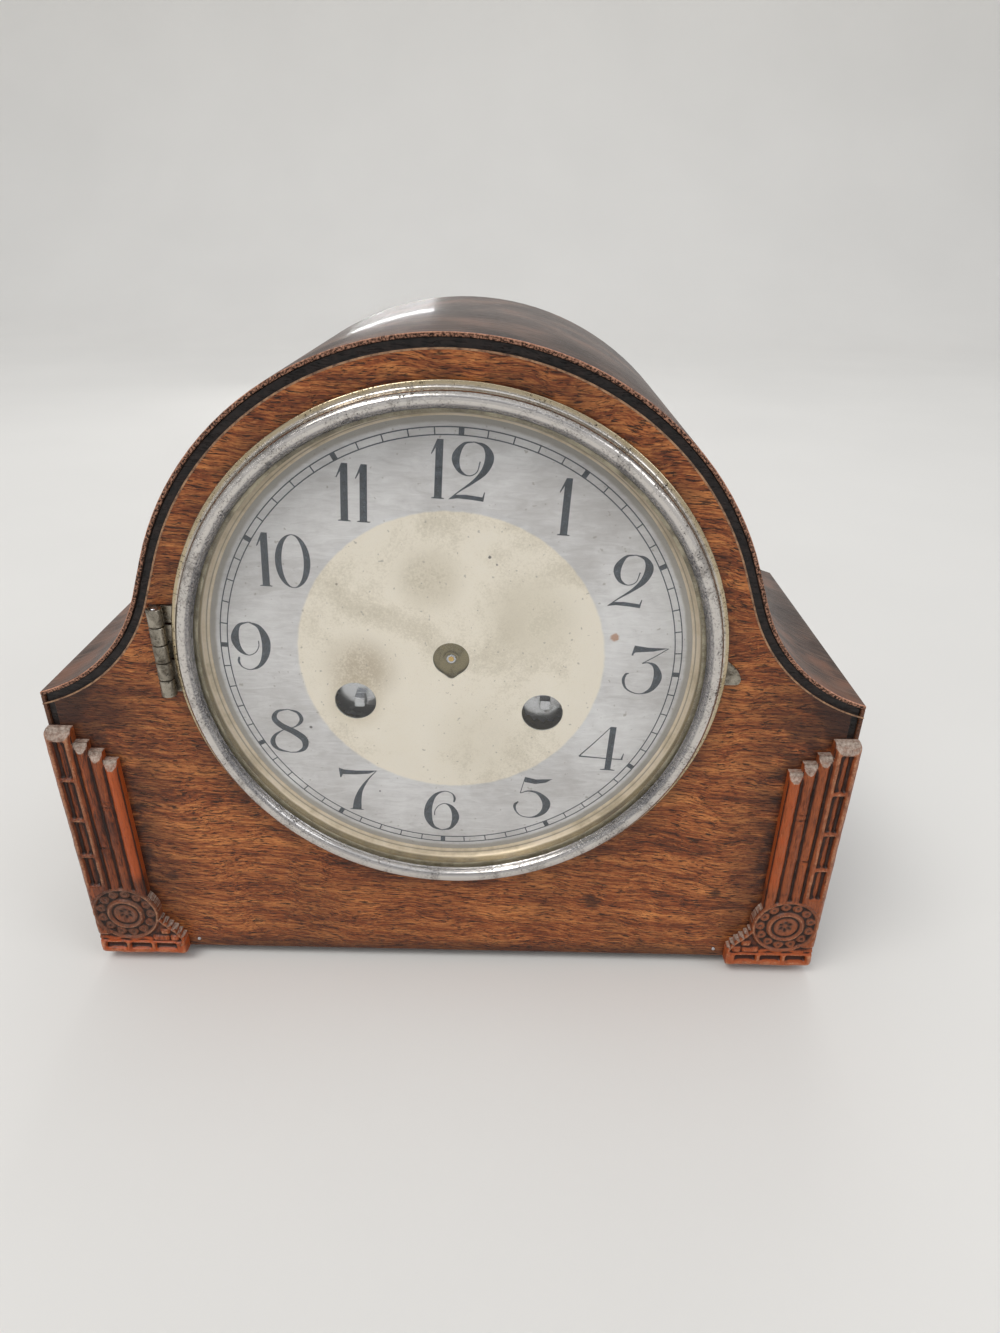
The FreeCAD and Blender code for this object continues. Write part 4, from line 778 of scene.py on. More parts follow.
def spiral_tree():
    """A flat strip wound as a spiral round an axis along y, its outer end towards -x."""
    grow = Growth("wound_strip", *((label, "Float") for label in (
        "Turns", "Outer radius", "Inner radius", "Strip width", "Strip thickness")))
    given = grow.given.at
    spiral = grow.node("GeometryNodeCurveSpiral", {}, {
        "Resolution": 72, "Height": 0.0, "Rotations": given("Turns"),
        "Start Radius": given("Outer radius"), "End Radius": given("Inner radius")})
    section = grow.node("GeometryNodeCurvePrimitiveQuadrilateral", {}, {
        "Width": given("Strip thickness"), "Height": given("Strip width")})
    rounded = grow.node("GeometryNodeFilletCurve", {"mode": "POLY"}, {
        "Curve": section, "Radius": 0.3 * MM, "Count": 3})
    solid = grow.node("GeometryNodeCurveToMesh", {}, {
        "Curve": spiral, "Profile Curve": rounded, "Fill Caps": True})
    return grow.end(grow.node("GeometryNodeTransform", {}, {
        "Geometry": solid, "Translation": given("Middle"),
        "Rotation": (-math.pi / 2, math.pi, 0.0)}))


def grown(name, mesh, tree, values):
    """Runs a tree on a mesh with its named inputs set and returns the plain result."""
    maker = linked(name + "_maker", mesh)
    repeat = maker.modifiers.new("Grow", "NODES")
    repeat.node_group = tree
    sockets = {item.name: item.identifier for item in tree.interface.items_tree
               if item.item_type == "SOCKET" and item.in_out == "INPUT"}
    for key, value in values.items():
        repeat[sockets[key]] = value
    return final_mesh(maker)


def copies_round(name, bm, count, radius, first, middle, material):
    """Repeats a small shape, drawn round the origin in metres, round middle."""
    tree = bpy.data.node_groups.get("ring_of_copies") or ring_tree()
    bmesh.ops.recalc_face_normals(bm, faces=bm.faces)
    done = grown(name, mesh_of(name, bm), tree, {
        "Count": count, "Radius": radius * MM, "First angle": first,
        "Middle": to_frame(middle), "Finish": finish(material)})
    return piece_of(name, done, material)


# ---------------------------------------------------------------- case

def make_case():
    dressed("front_board", 0.25)
    dressed("arch_cover", 0.28, segments=3)
    for side in ("right", "left"):
        dressed("side_panel_" + side, 0.4, "side_wood")
    for node in ("base_board", "glue_blocks", "back_frame"):
        dressed(node, 0.35, "carcass_wood")
    dressed("feet", 0.8, "carcass_wood", segments=3)
    dressed("board_brads", 0.12, "bright_steel")
    make_inlay()


def make_inlay():
    """Pale line let in along the inner side of the ebonised band."""
    bm = bmesh.new()
    rows = []
    for out, inn in zip(upper_edge(BAND), upper_edge(BAND + size("line_width"))):
        if out[1] > BAND_FOOT:
            rows.append([bm.verts.new(to_frame((x, y, z))) for (x, z), y in (
                (out, 0.05), (out, -0.04), (inn, -0.04), (inn, 0.05))])
    skin(bm, rows, caps=True)
    settle(closed("band_line", bm, "pale_line"), "case", "oak_veneer")


# ---------------------------------------------------------------- carved corners
# u runs from the outer side inwards, w from the bottom up, both in millimetres.

BLOCK = (30.2, 93.4)
BACKGROUND = 2.1
HIGHEST = 4.6
STILE = 7.8
FOOT = 5.4
REEDS = ((7.8, 11.9, 88.4), (11.9, 16.0, 85.1), (16.0, 20.1, 81.8))
SLOPE = ((30.2, 0.0), (30.2, 5.6), (29.4, 7.8), (27.7, 9.9), (25.7, 11.8), (23.8, 14.0),
         (22.4, 16.2), (20.0, 18.0), (12.0, 18.0), (12.0, 0.0))
DISC = (11.4, 18.0, 11.6)
ROUNDS = 13


def box_field(u, w, u0, u1, w0, w1):
    """Distance outside (positive) or inside (negative) a rectangle."""
    du = np.maximum(u0 - u, u - u1)
    dw = np.maximum(w0 - w, w - w1)
    return np.hypot(np.maximum(du, 0), np.maximum(dw, 0)) + np.minimum(np.maximum(du, dw), 0)


def polygon_field(u, w, corners):
    """Distance to a polygon's outline, negative inside."""
    best = np.full(u.shape, 1e9)
    inside = np.zeros(u.shape, bool)
    for (ax, az), (bx, bz) in zip(corners, corners[1:] + corners[:1]):
        ex, ez = bx - ax, bz - az
        t = np.clip(((u - ax) * ex + (w - az) * ez) / (ex * ex + ez * ez), 0, 1)
        best = np.minimum(best, np.hypot(u - ax - t * ex, w - az - t * ez))
        if az != bz:
            inside ^= ((az > w) != (bz > w)) & (u < ex * (w - az) / (bz - az) + ax)
    return np.where(inside, -best, best)


def ease(value, low, high):
    t = np.clip((value - low) / (high - low), 0, 1)
    return t * t * (3 - 2 * t)


def ridge(value, width, power=2):
    """A rounded ridge, 1 where value is 0."""
    return np.exp(-(value / width) ** power)


def soften(height, reach):
    """Box blur, twice, with the edges held."""
    window = 2 * reach + 1
    for _ in range(2):
        for axis in (0, 1):
            ends = [np.repeat(np.take(height, [end], axis), reach, axis) for end in (0, -1)]
            total = np.cumsum(np.concatenate([ends[0], height, ends[1]], axis), axis)
            total = np.insert(total, 0, 0, axis)
            count = height.shape[axis]
            height = (np.take(total, range(window, window + count), axis)
                      - np.take(total, range(count), axis)) / window
    return height


def ornament_outline(u, w):
    """Distance to the ornament's outline, negative inside."""
    field = box_field(u, w, 0.0, STILE, 0.0, BLOCK[1])
    for u0, u1, top in REEDS:
        field = np.minimum(field, box_field(u, w, u0, u1, 6.0, top))
    disc = np.hypot(u - DISC[0], w - DISC[1]) - DISC[2]
    slope = polygon_field(u, w, SLOPE) + 0.32 * np.sin((u - w) * 2.1) * ease(w, 5.5, 6.5)
    field = np.minimum(field, np.minimum(np.maximum(disc, -u), slope))
    field = np.minimum(field, box_field(u, w, 0.0, 20.0, 0.0, 8.0))
    return np.maximum(field, np.maximum(-u, -w))


def scooped(side, down, deep, least):
    """What a gouge has left of a bar's end: 0 at the top, 1 below the cut."""
    return np.clip(down / (deep * np.sqrt(np.clip(1 - side ** 2, 0, 1)) + least), 0, 1)


def bars(u, w):
    """Height of the upright bars with their gouged tops, and where the gouge has been."""
    pale = np.zeros(u.shape)
    height = np.full(u.shape, BACKGROUND)
    for u0, u1, top in REEDS:
        half = (u1 - u0) / 2
        side = (u - u0 - half) / half
        reed = BACKGROUND + 1.9 * np.sqrt(np.clip(1 - (side * 1.02) ** 2, 0, 1))
        cut = scooped(side, top - w, 3.0, 0.4)
        inside = (u >= u0) & (u < u1) & (w < top)
        height = np.where(inside, np.minimum(reed, 1.1 + 3.0 * cut), height)
        pale = np.where(inside & (cut < 0.97), 1.0, pale)
    for at_u, at_w in ((13.9, 66.0), (13.9, 63.9), (9.8, 47.0)):
        height = height - 0.9 * ridge(u - at_u, 1.2) * ridge(w - at_w, 0.45)
    # Stile: a frame round long sunk panels, each with a bead
    stile = HIGHEST - 0.9 * (1 - ease(np.minimum(u, STILE - u), -0.1, 0.9))
    rails = (30.5, 44.0, 59.0, 75.0, 90.2)
    panel = np.zeros(u.shape)
    for low, high in zip(rails, rails[1:]):
        panel = np.maximum(panel, ease(w, low + 0.5, low + 0.9)
                           * (1 - ease(w, high - 0.9, high - 0.5)))
    stile = stile - 1.5 * ease(u, 1.7, 2.1) * (1 - ease(u, 5.5, 5.9)) * panel
    stile = stile + 0.7 * ridge(u - 3.8, 0.45) * panel
    cut = scooped((u - STILE / 2) / (STILE / 2), BLOCK[1] - w, 3.2, 0.5)
    inside = (u < STILE) & (w > FOOT)
    height = np.where(inside, np.minimum(stile, 1.4 + 3.4 * cut), height)
    return height, np.where(inside & (cut < 0.97), 1.0, pale)


def roundel(u, w):
    """Height of the disc: rim, a ring of small rounds, a raised ring and a flower."""
    du, dw = u - DISC[0], w - DISC[1]
    radius = np.hypot(du, dw)
    turn = np.arctan2(dw, du)
    step = 2 * np.pi / ROUNDS
    near = (np.mod(turn + step / 2, step) - step / 2) * radius
    from_round = np.hypot(near, radius - 8.75)
    disc = 3.1 + 1.5 * ridge(radius - 11.0, 0.42) + 0.95 * ridge(from_round - 1.15, 0.34)
    disc = disc + 0.5 * ridge(from_round, 0.42) + 1.45 * ridge(np.abs(radius - 5.7), 0.85, 3)
    flower = (3.15 + 1.0 * ease(radius, 1.2, 3.6) - 0.5 * ease(radius, 3.8, 4.4)
              + 0.22 * np.cos(turn * 6) * ease(radius, 0.3, 1.0) * (1 - ease(radius, 2.2, 2.9))
              + 0.45 * ridge(radius, 0.6))
    share = ease(radius, 4.35, 4.75)
    return disc * share + (1 - share) * flower, radius < DISC[2]


def ornament_relief(u, w):
    """Height of the carving over the board, and how pale each point is."""
    height, pale = bars(u, w)
    # Stepped corner between roundel and foot
    slope = polygon_field(u, w, SLOPE)
    stepped = np.full(u.shape, 2.9)
    for u0, u1, w0, w1, top in ((19.4, 25.0, 5.9, 7.9, 4.3), (25.6, 28.4, 5.9, 8.0, 4.4),
                                (22.4, 25.4, 8.7, 10.7, 4.2), (12.0, 18.6, 5.9, 7.4, 4.2)):
        stepped = np.maximum(stepped, top - 1.3 * ease(box_field(u, w, u0, u1, w0, w1),
                                                       -0.35, 0.25))
    stepped = np.maximum(stepped, 4.5 - 1.6 * ease(-slope, 0.35, 0.95))
    height = np.where((slope < 0) & (u > 12), stepped, height)
    # Waved strip below the roundel on the outer side
    waves = 3.2 + 0.9 * ridge(w - 6.4 - 0.35 * np.sin(u * 0.9), 0.5)
    height = np.where((u < 19) & (w > FOOT) & (w < 8.4), waves, height)
    disc, inside = roundel(u, w)
    height = np.where(inside & (w > FOOT), disc, height)
    # Foot bar with three sunk panels
    foot = HIGHEST - 0.7 * (1 - ease(np.minimum(w, FOOT - w), 0.0, 0.5))
    foot = foot - 0.6 * (1 - ease(u, 0.0, 0.6)) - 0.5 * ease(u, 29.4, 30.2)
    for u0, u1 in ((2.0, 9.2), (10.8, 18.2), (19.8, 27.2)):
        foot = foot - 1.7 * (1 - ease(box_field(u, w, u0, u1, 2.1, 4.6), -0.25, 0.15))
    return np.where(w < FOOT, foot, height), pale


def make_ornaments():
    pitch = size("carving_pitch")
    grid_u, grid_w = np.meshgrid(np.arange(-pitch, 30.6 + pitch, pitch),
                                 np.arange(-pitch, 93.6 + pitch, pitch), indexing="ij")
    field = ornament_outline(grid_u, grid_w)
    step_u, step_w = np.gradient(field, pitch, pitch)
    norm = np.maximum(np.hypot(step_u, step_w), 0.3)
    near = field < pitch * 0.45
    keep = near[:-1, :-1] & near[1:, :-1] & near[:-1, 1:] & near[1:, 1:]
    used = np.zeros(field.shape, int)
    for a in (0, 1):
        for b in (0, 1):
            used[a:a + keep.shape[0], b:b + keep.shape[1]] += keep
    # Points next to the outline are moved on to it
    border = (used > 0) & (used < 4)
    moved_u = np.where(border, grid_u - field * step_u / norm ** 2, grid_u)
    moved_w = np.where(border, grid_w - field * step_w / norm ** 2, grid_w)
    moved_u = np.clip(moved_u, 0.0, BLOCK[0])
    moved_w = np.clip(moved_w, 0.0, BLOCK[1])
    rng = np.random.default_rng(7)
    height, pale = ornament_relief(moved_u, moved_w)
    lumps = soften(rng.normal(0, 1, height.shape), 4) * size("carving_lumps")
    height = np.minimum(soften(height, 1) + lumps, HIGHEST)
    around = soften(np.where(used > 0, height, 2.6), 4)
    relief = np.clip(0.5 + (height - around) * 0.50, 0, 1)
    for side, sign in (("right", 1), ("left", -1)):
        bm = bmesh.new()
        relief_layer = bm.verts.layers.float.new("relief")
        wall_layer = bm.verts.layers.float.new("wall")
        top = {}
        for i, j in zip(*np.nonzero(used)):
            vert = bm.verts.new(to_frame((sign * (HALF_WIDTH - moved_u[i, j]), -height[i, j],
                                          BOTTOM + moved_w[i, j])))
            vert[relief_layer] = float(relief[i, j])
            vert[wall_layer] = float(pale[i, j])
            top[i, j] = vert
        for i, j in zip(*np.nonzero(keep)):
            bm.faces.new((top[i, j], top[i + 1, j], top[i + 1, j + 1], top[i, j + 1]))
        edges = [edge for edge in bm.edges if len(edge.link_faces) == 1]
        # The wall gets its own upper points, so that its colour has a hard edge
        skirt = {}
        for vert in (vert for edge in edges for vert in edge.verts):
            if vert not in skirt:
                skirt[vert] = (bm.verts.new(vert.co),
                               bm.verts.new((vert.co.x, CENTRE.y, vert.co.z)))
                for made in skirt[vert]:
                    made[relief_layer] = 0.5
        for edge in edges:
            (up_a, low_a), (up_b, low_b) = (skirt[vert] for vert in edge.verts)
            out = (up_a.co + up_b.co) / 2 - edge.link_faces[0].calc_center_median()
            bm.faces.new((up_a, up_b, low_b, low_a))
            if out.z > abs(out.x) * 0.35:
                for made in (up_a, up_b, low_a, low_b):
                    made[wall_layer] = 1.0
        rim = [edge for edge in bm.edges if len(edge.link_faces) == 1
               and all(abs(vert.co.y - CENTRE.y) < 1e-9 for vert in edge.verts)]
        bmesh.ops.edgenet_fill(bm, edges=rim)
        bmesh.ops.triangulate(bm, faces=[face for face in bm.faces if len(face.verts) > 4])
        bmesh.ops.remove_doubles(bm, verts=bm.verts, dist=1e-9)
        bmesh.ops.recalc_face_normals(bm, faces=bm.faces)
        name = "carved_corner_" + side
        piece = piece_of(name, mesh_of(name, bm), "carved_wood", 50.0)
        settle(piece, "case", "carved_wood", "corner_ornament_" + side)


# ---------------------------------------------------------------- dial

# Each figure: plain polygons, and strokes of (x, z, width); z is 1 at the figure's top.
STROKES = {
    "1": ([[(0.088, 0.86), (0.026, 0.745), (0.012, 0.757), (0.11, 1.0), (0.212, 1.0),
            (0.212, 0.012), (0.085, 0.012)],
           [(0.04, 0.0), (0.255, 0.0), (0.255, 0.014), (0.205, 0.026), (0.085, 0.026),
            (0.04, 0.014)]], []),
    "2": ([[(0.0, 0.0), (0.10, 0.085), (0.30, 0.10), (0.575, 0.075), (0.60, 0.165),
            (0.615, 0.16), (0.595, 0.0), (0.40, 0.018), (0.16, 0.03)]],
          [[(0.39, 0.99, 0.012), (0.22, 0.945, 0.04), (0.10, 0.73, 0.105),
            (0.155, 0.52, 0.06), (0.31, 0.425, 0.016), (0.455, 0.49, 0.014),
            (0.505, 0.675, 0.02)],
           [(0.39, 0.99, 0.012), (0.565, 0.93, 0.055), (0.655, 0.755, 0.118),
            (0.59, 0.53, 0.095), (0.42, 0.34, 0.045), (0.18, 0.15, 0.022),
            (0.02, 0.01, 0.012)]]),
    "3": ([[(0.16, 1.0), (0.42, 0.975), (0.79, 0.985), (0.52, 0.905), (0.185, 0.86),
            (0.145, 0.79), (0.125, 0.80)]],
          [[(0.785, 0.98, 0.014), (0.56, 0.80, 0.014), (0.345, 0.645, 0.014)],
           [(0.345, 0.645, 0.014), (0.47, 0.665, 0.024), (0.60, 0.59, 0.07),
            (0.675, 0.37, 0.125), (0.60, 0.13, 0.075), (0.43, 0.012, 0.022),
            (0.26, 0.02, 0.02), (0.11, 0.11, 0.03), (0.045, 0.27, 0.045),
            (0.075, 0.395, 0.035), (0.13, 0.42, 0.02)]]),
    "4": ([[(0.545, 1.0), (0.665, 1.0), (0.665, 0.02), (0.545, 0.02)],
           [(0.46, 0.0), (0.75, 0.0), (0.75, 0.014), (0.67, 0.028), (0.54, 0.028),
            (0.46, 0.014)],
           [(0.835, 0.285), (0.87, 0.41), (0.885, 0.41), (0.868, 0.265)]],
          [[(0.555, 0.99, 0.014), (0.30, 0.65, 0.018), (0.015, 0.29, 0.024)],
           [(0.015, 0.29, 0.028), (0.45, 0.275, 0.02), (0.875, 0.272, 0.02)]]),
    "5": ([[(0.185, 1.0), (0.40, 0.955), (0.73, 0.985), (0.60, 0.89), (0.40, 0.845),
            (0.185, 0.875), (0.17, 0.94)]],
          [[(0.187, 0.98, 0.014), (0.15, 0.78, 0.014), (0.118, 0.60, 0.014)],
           [(0.118, 0.60, 0.014), (0.28, 0.665, 0.026), (0.48, 0.62, 0.05),
            (0.655, 0.42, 0.125), (0.64, 0.21, 0.10), (0.50, 0.06, 0.045),
            (0.33, 0.012, 0.018), (0.16, 0.05, 0.018), (0.055, 0.17, 0.03),
            (0.03, 0.30, 0.045), (0.095, 0.39, 0.025)]]),
    "7": ([[(0.0, 1.0), (0.10, 0.965), (0.34, 0.955), (0.755, 0.985), (0.60, 0.90),
            (0.35, 0.865), (0.08, 0.85), (0.045, 0.77), (0.025, 0.775)],
           [(0.215, 0.0), (0.49, 0.0), (0.49, 0.014), (0.43, 0.026), (0.28, 0.026),
            (0.215, 0.014)]],
          [[(0.75, 0.98, 0.014), (0.58, 0.76, 0.03), (0.44, 0.50, 0.065),
            (0.375, 0.25, 0.115), (0.355, 0.015, 0.145)]]),
    "8": ([], [[(0.37, 0.99, 0.014), (0.17, 0.93, 0.045), (0.10, 0.77, 0.085),
                (0.23, 0.615, 0.095), (0.47, 0.49, 0.105), (0.66, 0.33, 0.11),
                (0.66, 0.14, 0.075), (0.53, 0.035, 0.03), (0.38, 0.01, 0.014)],
               [(0.37, 0.99, 0.014), (0.56, 0.925, 0.045), (0.62, 0.765, 0.06),
                (0.50, 0.615, 0.024), (0.29, 0.535, 0.016), (0.10, 0.39, 0.045),
                (0.045, 0.21, 0.08), (0.15, 0.065, 0.045), (0.38, 0.01, 0.014)]]),
    "9": ([], [[(0.345, 0.99, 0.014), (0.16, 0.91, 0.05), (0.075, 0.655, 0.118),
                (0.145, 0.425, 0.075), (0.29, 0.315, 0.018), (0.425, 0.37, 0.014),
                (0.50, 0.50, 0.014), (0.505, 0.62, 0.02)],
               [(0.345, 0.99, 0.014), (0.53, 0.90, 0.06), (0.635, 0.65, 0.125),
                (0.62, 0.36, 0.11), (0.51, 0.12, 0.055), (0.33, 0.012, 0.018),
                (0.18, 0.05, 0.018), (0.115, 0.16, 0.035), (0.125, 0.265, 0.03)]]),
}
# A 6 is a 9 upside down
STROKES["6"] = ([], [[(0.70 - x, 1 - z, width) for x, z, width in stroke]
                     for stroke in STROKES["9"][1]])
WIDTHS = {"1": 0.27, "2": 0.66, "3": 0.80, "4": 0.88, "5": 0.73, "6": 0.70, "7": 0.76,
          "8": 0.70, "9": 0.70, "0": 0.62}
FIGURE_GAP = 0.055
NUMERAL_CENTRES = ((29.7, 49.8), (50.2, 29.3), (58.7, 0.7), (49.4, -28.2), (28.8, -49.3),
                   (-0.6, -56.9), (-28.7, -50.4), (-50.8, -29.4), (-60.7, 0.0),
                   (-49.4, 28.2), (-29.2, 49.6), (-0.1, 57.9))


def smooth_path(points, steps=7):
    """A curve through the points with their widths, by Catmull and Rom's rule."""
    rows = [np.array(points[0]) * 2 - np.array(points[1])] + [np.array(p) for p in points]
    rows.append(rows[-1] * 2 - rows[-2])
    out = []
    for a, b, c, d in zip(rows, rows[1:], rows[2:], rows[3:]):
        for k in range(steps):
            t = k / steps
            out.append(0.5 * (2 * b + (c - a) * t + (2 * a - 5 * b + 4 * c - d) * t ** 2
                              + (3 * b - a - 3 * c + d) * t ** 3))
    out.append(rows[-2])
    return out


def stroke_edges(points):
    """Left and right edge of a stroke. Only its thick parts take the panel's weight."""
    path = smooth_path(points)
    weight = bpy.context.scene.clock_sizes.numeral_weight
    left, right = [], []
    for i, (x, z, width) in enumerate(path):
        before, after = path[max(i - 1, 0)], path[min(i + 1, len(path) - 1)]
        dx, dz = after[0] - before[0], after[1] - before[1]
        run = math.hypot(dx, dz) or 1.0
        half = max(width * (weight if width > 0.03 else 1.1), 0.017) / 2
        left.append((x - dz / run * half, z + dx / run * half))
        right.append((x + dz / run * half, z - dx / run * half))
    return left, right


def numeral_shapes(figure):
    """Outlines of one figure: plain polygons, and pairs of edges for strokes."""
    if figure == "0":
        ring = circle(1.0, 48)
        ring.append(ring[0])
        return [], [([(0.31 + 0.31 * c, 0.5 + 0.5 * s) for c, s in ring],
                     [(0.31 + 0.195 * c, 0.5 + 0.485 * s) for c, s in ring])]
    polygons, strokes = STROKES[figure]
    return polygons, [stroke_edges(stroke) for stroke in strokes]


def make_numerals():
    """The twelve hour numerals. Each stroke has its own level, so that none fight."""
    high = size("numeral_height")
    bm = bmesh.new()
    layer = 0

    def row(outline, level):
        """Corners of an outline at a level, turned with the dial."""
        made = []
        for x, z in outline:
            px, pz = cx + (start + x) * high, cz + (z - 0.5) * high
            made.append(bm.verts.new(to_frame((
                px * math.cos(DIAL_TURN) + pz * math.sin(DIAL_TURN), level,
                pz * math.cos(DIAL_TURN) - px * math.sin(DIAL_TURN)))))
        return made

    for hour, (cx, cz) in enumerate(NUMERAL_CENTRES, 1):
        figures = str(hour)
        start = -(sum(WIDTHS[f] for f in figures) + FIGURE_GAP * (len(figures) - 1)) / 2
        for figure in figures:
            polygons, strokes = numeral_shapes(figure)
            for shape in [(polygon,) for polygon in polygons] + strokes:
                level = DIAL_FACE - 0.02 - 0.0015 * (layer % 6)
                layer += 1
                rings = [row(outline, level) for outline in shape]
                rings += [row(outline, INK_BACK) for outline in shape[::-1]]
                skin(bm, rings if len(shape) == 1 else list(zip(*rings)), caps=True)
            start += WIDTHS[figure] + FIGURE_GAP
    bmesh.ops.recalc_face_normals(bm, faces=bm.faces)
    piece = piece_of("hour_numerals", mesh_of("hour_numerals", bm), "numeral_ink")
    settle(piece, "case", "dial_face")


def make_minute_track():
    """Marks for the minutes and hours between two thin circles."""
    for name, width, depth, count in (("minute_marks", size("minute_mark"), 0.03, 60),
                                      ("hour_marks", size("hour_mark"), 0.036, 12)):
        marks = copies_round(name, small_block(width, depth, 2.1), count, 68.55, DIAL_TURN,
                             (0.0, DIAL_FACE - 0.012, 0.0), "numeral_ink")
        settle(marks, "case", "dial_face")
    for name, radius in (("outer_minute_line", 69.6), ("inner_minute_line", 67.5)):
        section = [(radius - 0.17, INK_BACK), (radius + 0.17, INK_BACK),
                   (radius + 0.17, DIAL_FACE - 0.024), (radius - 0.17, DIAL_FACE - 0.024)]
        settle(closed(name, lathe(section, steps=180), "numeral_ink"), "case", "dial_face")


def make_dial():
    """Dial plate with its two winding holes and the drop-shaped hole for the hands."""
    drop = []
    for i in range(64):
        turn = 2 * math.pi * i / 64
        radius = 5.6 + 1.1 * math.exp(-((turn - math.pi * 1.5) / 0.28) ** 2)
        drop.append((radius * math.cos(turn), radius * math.sin(turn)))
    curve = bpy.data.curves.new("dial_outline", "CURVE")
    curve.dimensions = "2D"
    curve.fill_mode = "BOTH"
    for ring in (circle(DIAL_RADIUS, 160), *(circle(HOLE_RADIUS, 48, hole) for hole in HOLES),
                 drop):
        spline = curve.splines.new("POLY")
        spline.points.add(len(ring) - 1)
        for point, (x, z) in zip(spline.points, ring):
            point.co = (x * MM, z * MM, 0.0, 1.0)
        spline.use_cyclic_u = True
    curve.extrude = 0.22 * MM
    curve.bevel_depth = 0.07 * MM
    curve.bevel_resolution = 1
    mesh = final_mesh(linked("dial_maker", curve))
    # The outline lies flat: its x, y become the clock's x, z
    mesh.transform(Matrix(((1, 0, 0, CENTRE.x), (0, 0, 1, CENTRE.y + (DIAL_FACE + 0.3) * MM),
                           (0, 1, 0, CENTRE.z), (0, 0, 0, 1))))
    piece = closed("dial_with_holes", bmesh_of(mesh), "dial_face", 40.0, weld=0.002)
    settle(piece, "case", "dial_face", "dial_plate")
    make_numerals()
    make_minute_track()


def make_surround():
    profile = [(72.6, 3.5), (72.7, 3.2), (73.1, 3.0), (73.9, 2.55), (74.6, 1.7), (75.5, 0.7),
               (76.1, -0.1), (76.5, -0.38), (77.2, -0.4), (78.9, -0.4), (79.0, -0.3),
               (79.0, -0.02), (76.9, -0.02), (76.4, 0.25), (75.6, 1.45), (74.4, 3.2),
               (74.0, 3.48)]
    piece = closed("dial_surround_ring", lathe(profile, steps=192), "surround_cream", 40.0)
    settle(piece, "case", "surround_cream", "dial_surround")
    dressed("dial_pins", 0.05, "plain_brass")


# ---------------------------------------------------------------- bezel

def make_bezel():
    """The ring with its skirt, roll and lip, then the glass and the fittings."""
    under = -1.2
    profile = [(82.5, under), (82.5, -1.75), (82.38, -1.98), (82.15, -2.1), (81.5, -2.15),
               (80.95, -2.3), (80.6, -2.7)]
    roll, roll_radius, roll_level = 78.15, 2.3, -3.9
    for i in range(17):
        turn = math.radians(-8 + 188 * i / 16)
        profile.append((roll + roll_radius * math.cos(turn),
                        roll_level - roll_radius * math.sin(turn)))
    profile += [(75.72, -3.62), (75.62, -3.45), (75.75, -3.4), (76.7, -3.4), (76.7, under)]
    piece = closed("bezel_roll", lathe(profile, steps=220), "bezel_nickel", 38.0)
    settle(piece, "bezel", "bezel_nickel", "bezel_ring")
    radius, rise, thick, seat = 76.5, 5.0, 1.5, -3.4
    dome = (radius ** 2 + rise ** 2) / (2 * rise)
    face = [(radius * i / 24, seat - rise + dome - math.sqrt(dome ** 2 - (radius * i / 24) ** 2))
            for i in range(25)]
    back = [(reach, level + thick) for reach, level in face[::-1]]
    piece = closed("domed_glass", lathe(face + back, steps=128, loop=False), "glass_clear", 40.0)
    settle(piece, "bezel", "glass_clear", "bezel_glass")
    dressed("glass_retainer", 0.1, "dull_brass")
    make_bezel_hinge()
    make_thumb_tab()


def make_bezel_hinge():
    """Five rounded knuckles on a pin: three on the board, two on the bezel."""
    gap = size("knuckle_gap")
    step = HINGE_LENGTH / 5
    # Half a knuckle's outline: reach from the pin, and distance from the knuckle's end
    rounding = ((1.26, 0.0), (1.95, 0.0), (2.15, 0.06), (2.27, 0.22), (2.3, 0.4))
    leaf_start = -84.5
    for name, body, indices, node, leaf_end, front, back in (
            ("board_side_knuckles", "case", (0, 2, 4), "board_hinge_leaf", -79.6, -0.45, 0.5),
            ("bezel_side_knuckles", "bezel", (1, 3), "bezel_hinge_leaf", -79.7, -1.2, -0.7)):
        parts = []
        for index in indices:
            low = HINGE_LOW + index * step + gap
            high = HINGE_LOW + (index + 1) * step - gap
            profile = [(reach, low + inset) for reach, inset in rounding]
            profile += [(reach, high - inset) for reach, inset in rounding[::-1]]
            parts.append(lathe(profile, HINGE_AXIS, "z", 40))
            parts.append(small_block(
                leaf_end - leaf_start, back - front, high - low - 0.2, 0.08,
                to_frame(((leaf_start + leaf_end) / 2, (front + back) / 2, (low + high) / 2))))
        bm = bmesh_of(*(mesh_of("knuckle", part) for part in parts))
        settle(closed(name, bm, "hinge_nickel", 35.0), body, "bezel_nickel", node)
    ends = ((0.0, 0.05), (0.7, 0.1), (1.15, 0.5))
    profile = [(reach, HINGE_LOW + inset) for reach, inset in ends]
    profile += [(reach, HINGE_LOW + HINGE_LENGTH - inset) for reach, inset in ends[::-1]]
    pin = closed("hinge_pin", lathe(profile, HINGE_AXIS, "z", 24, loop=False), "bright_steel")
    settle(pin, "case", "bright_steel", "bezel_hinge_pin")


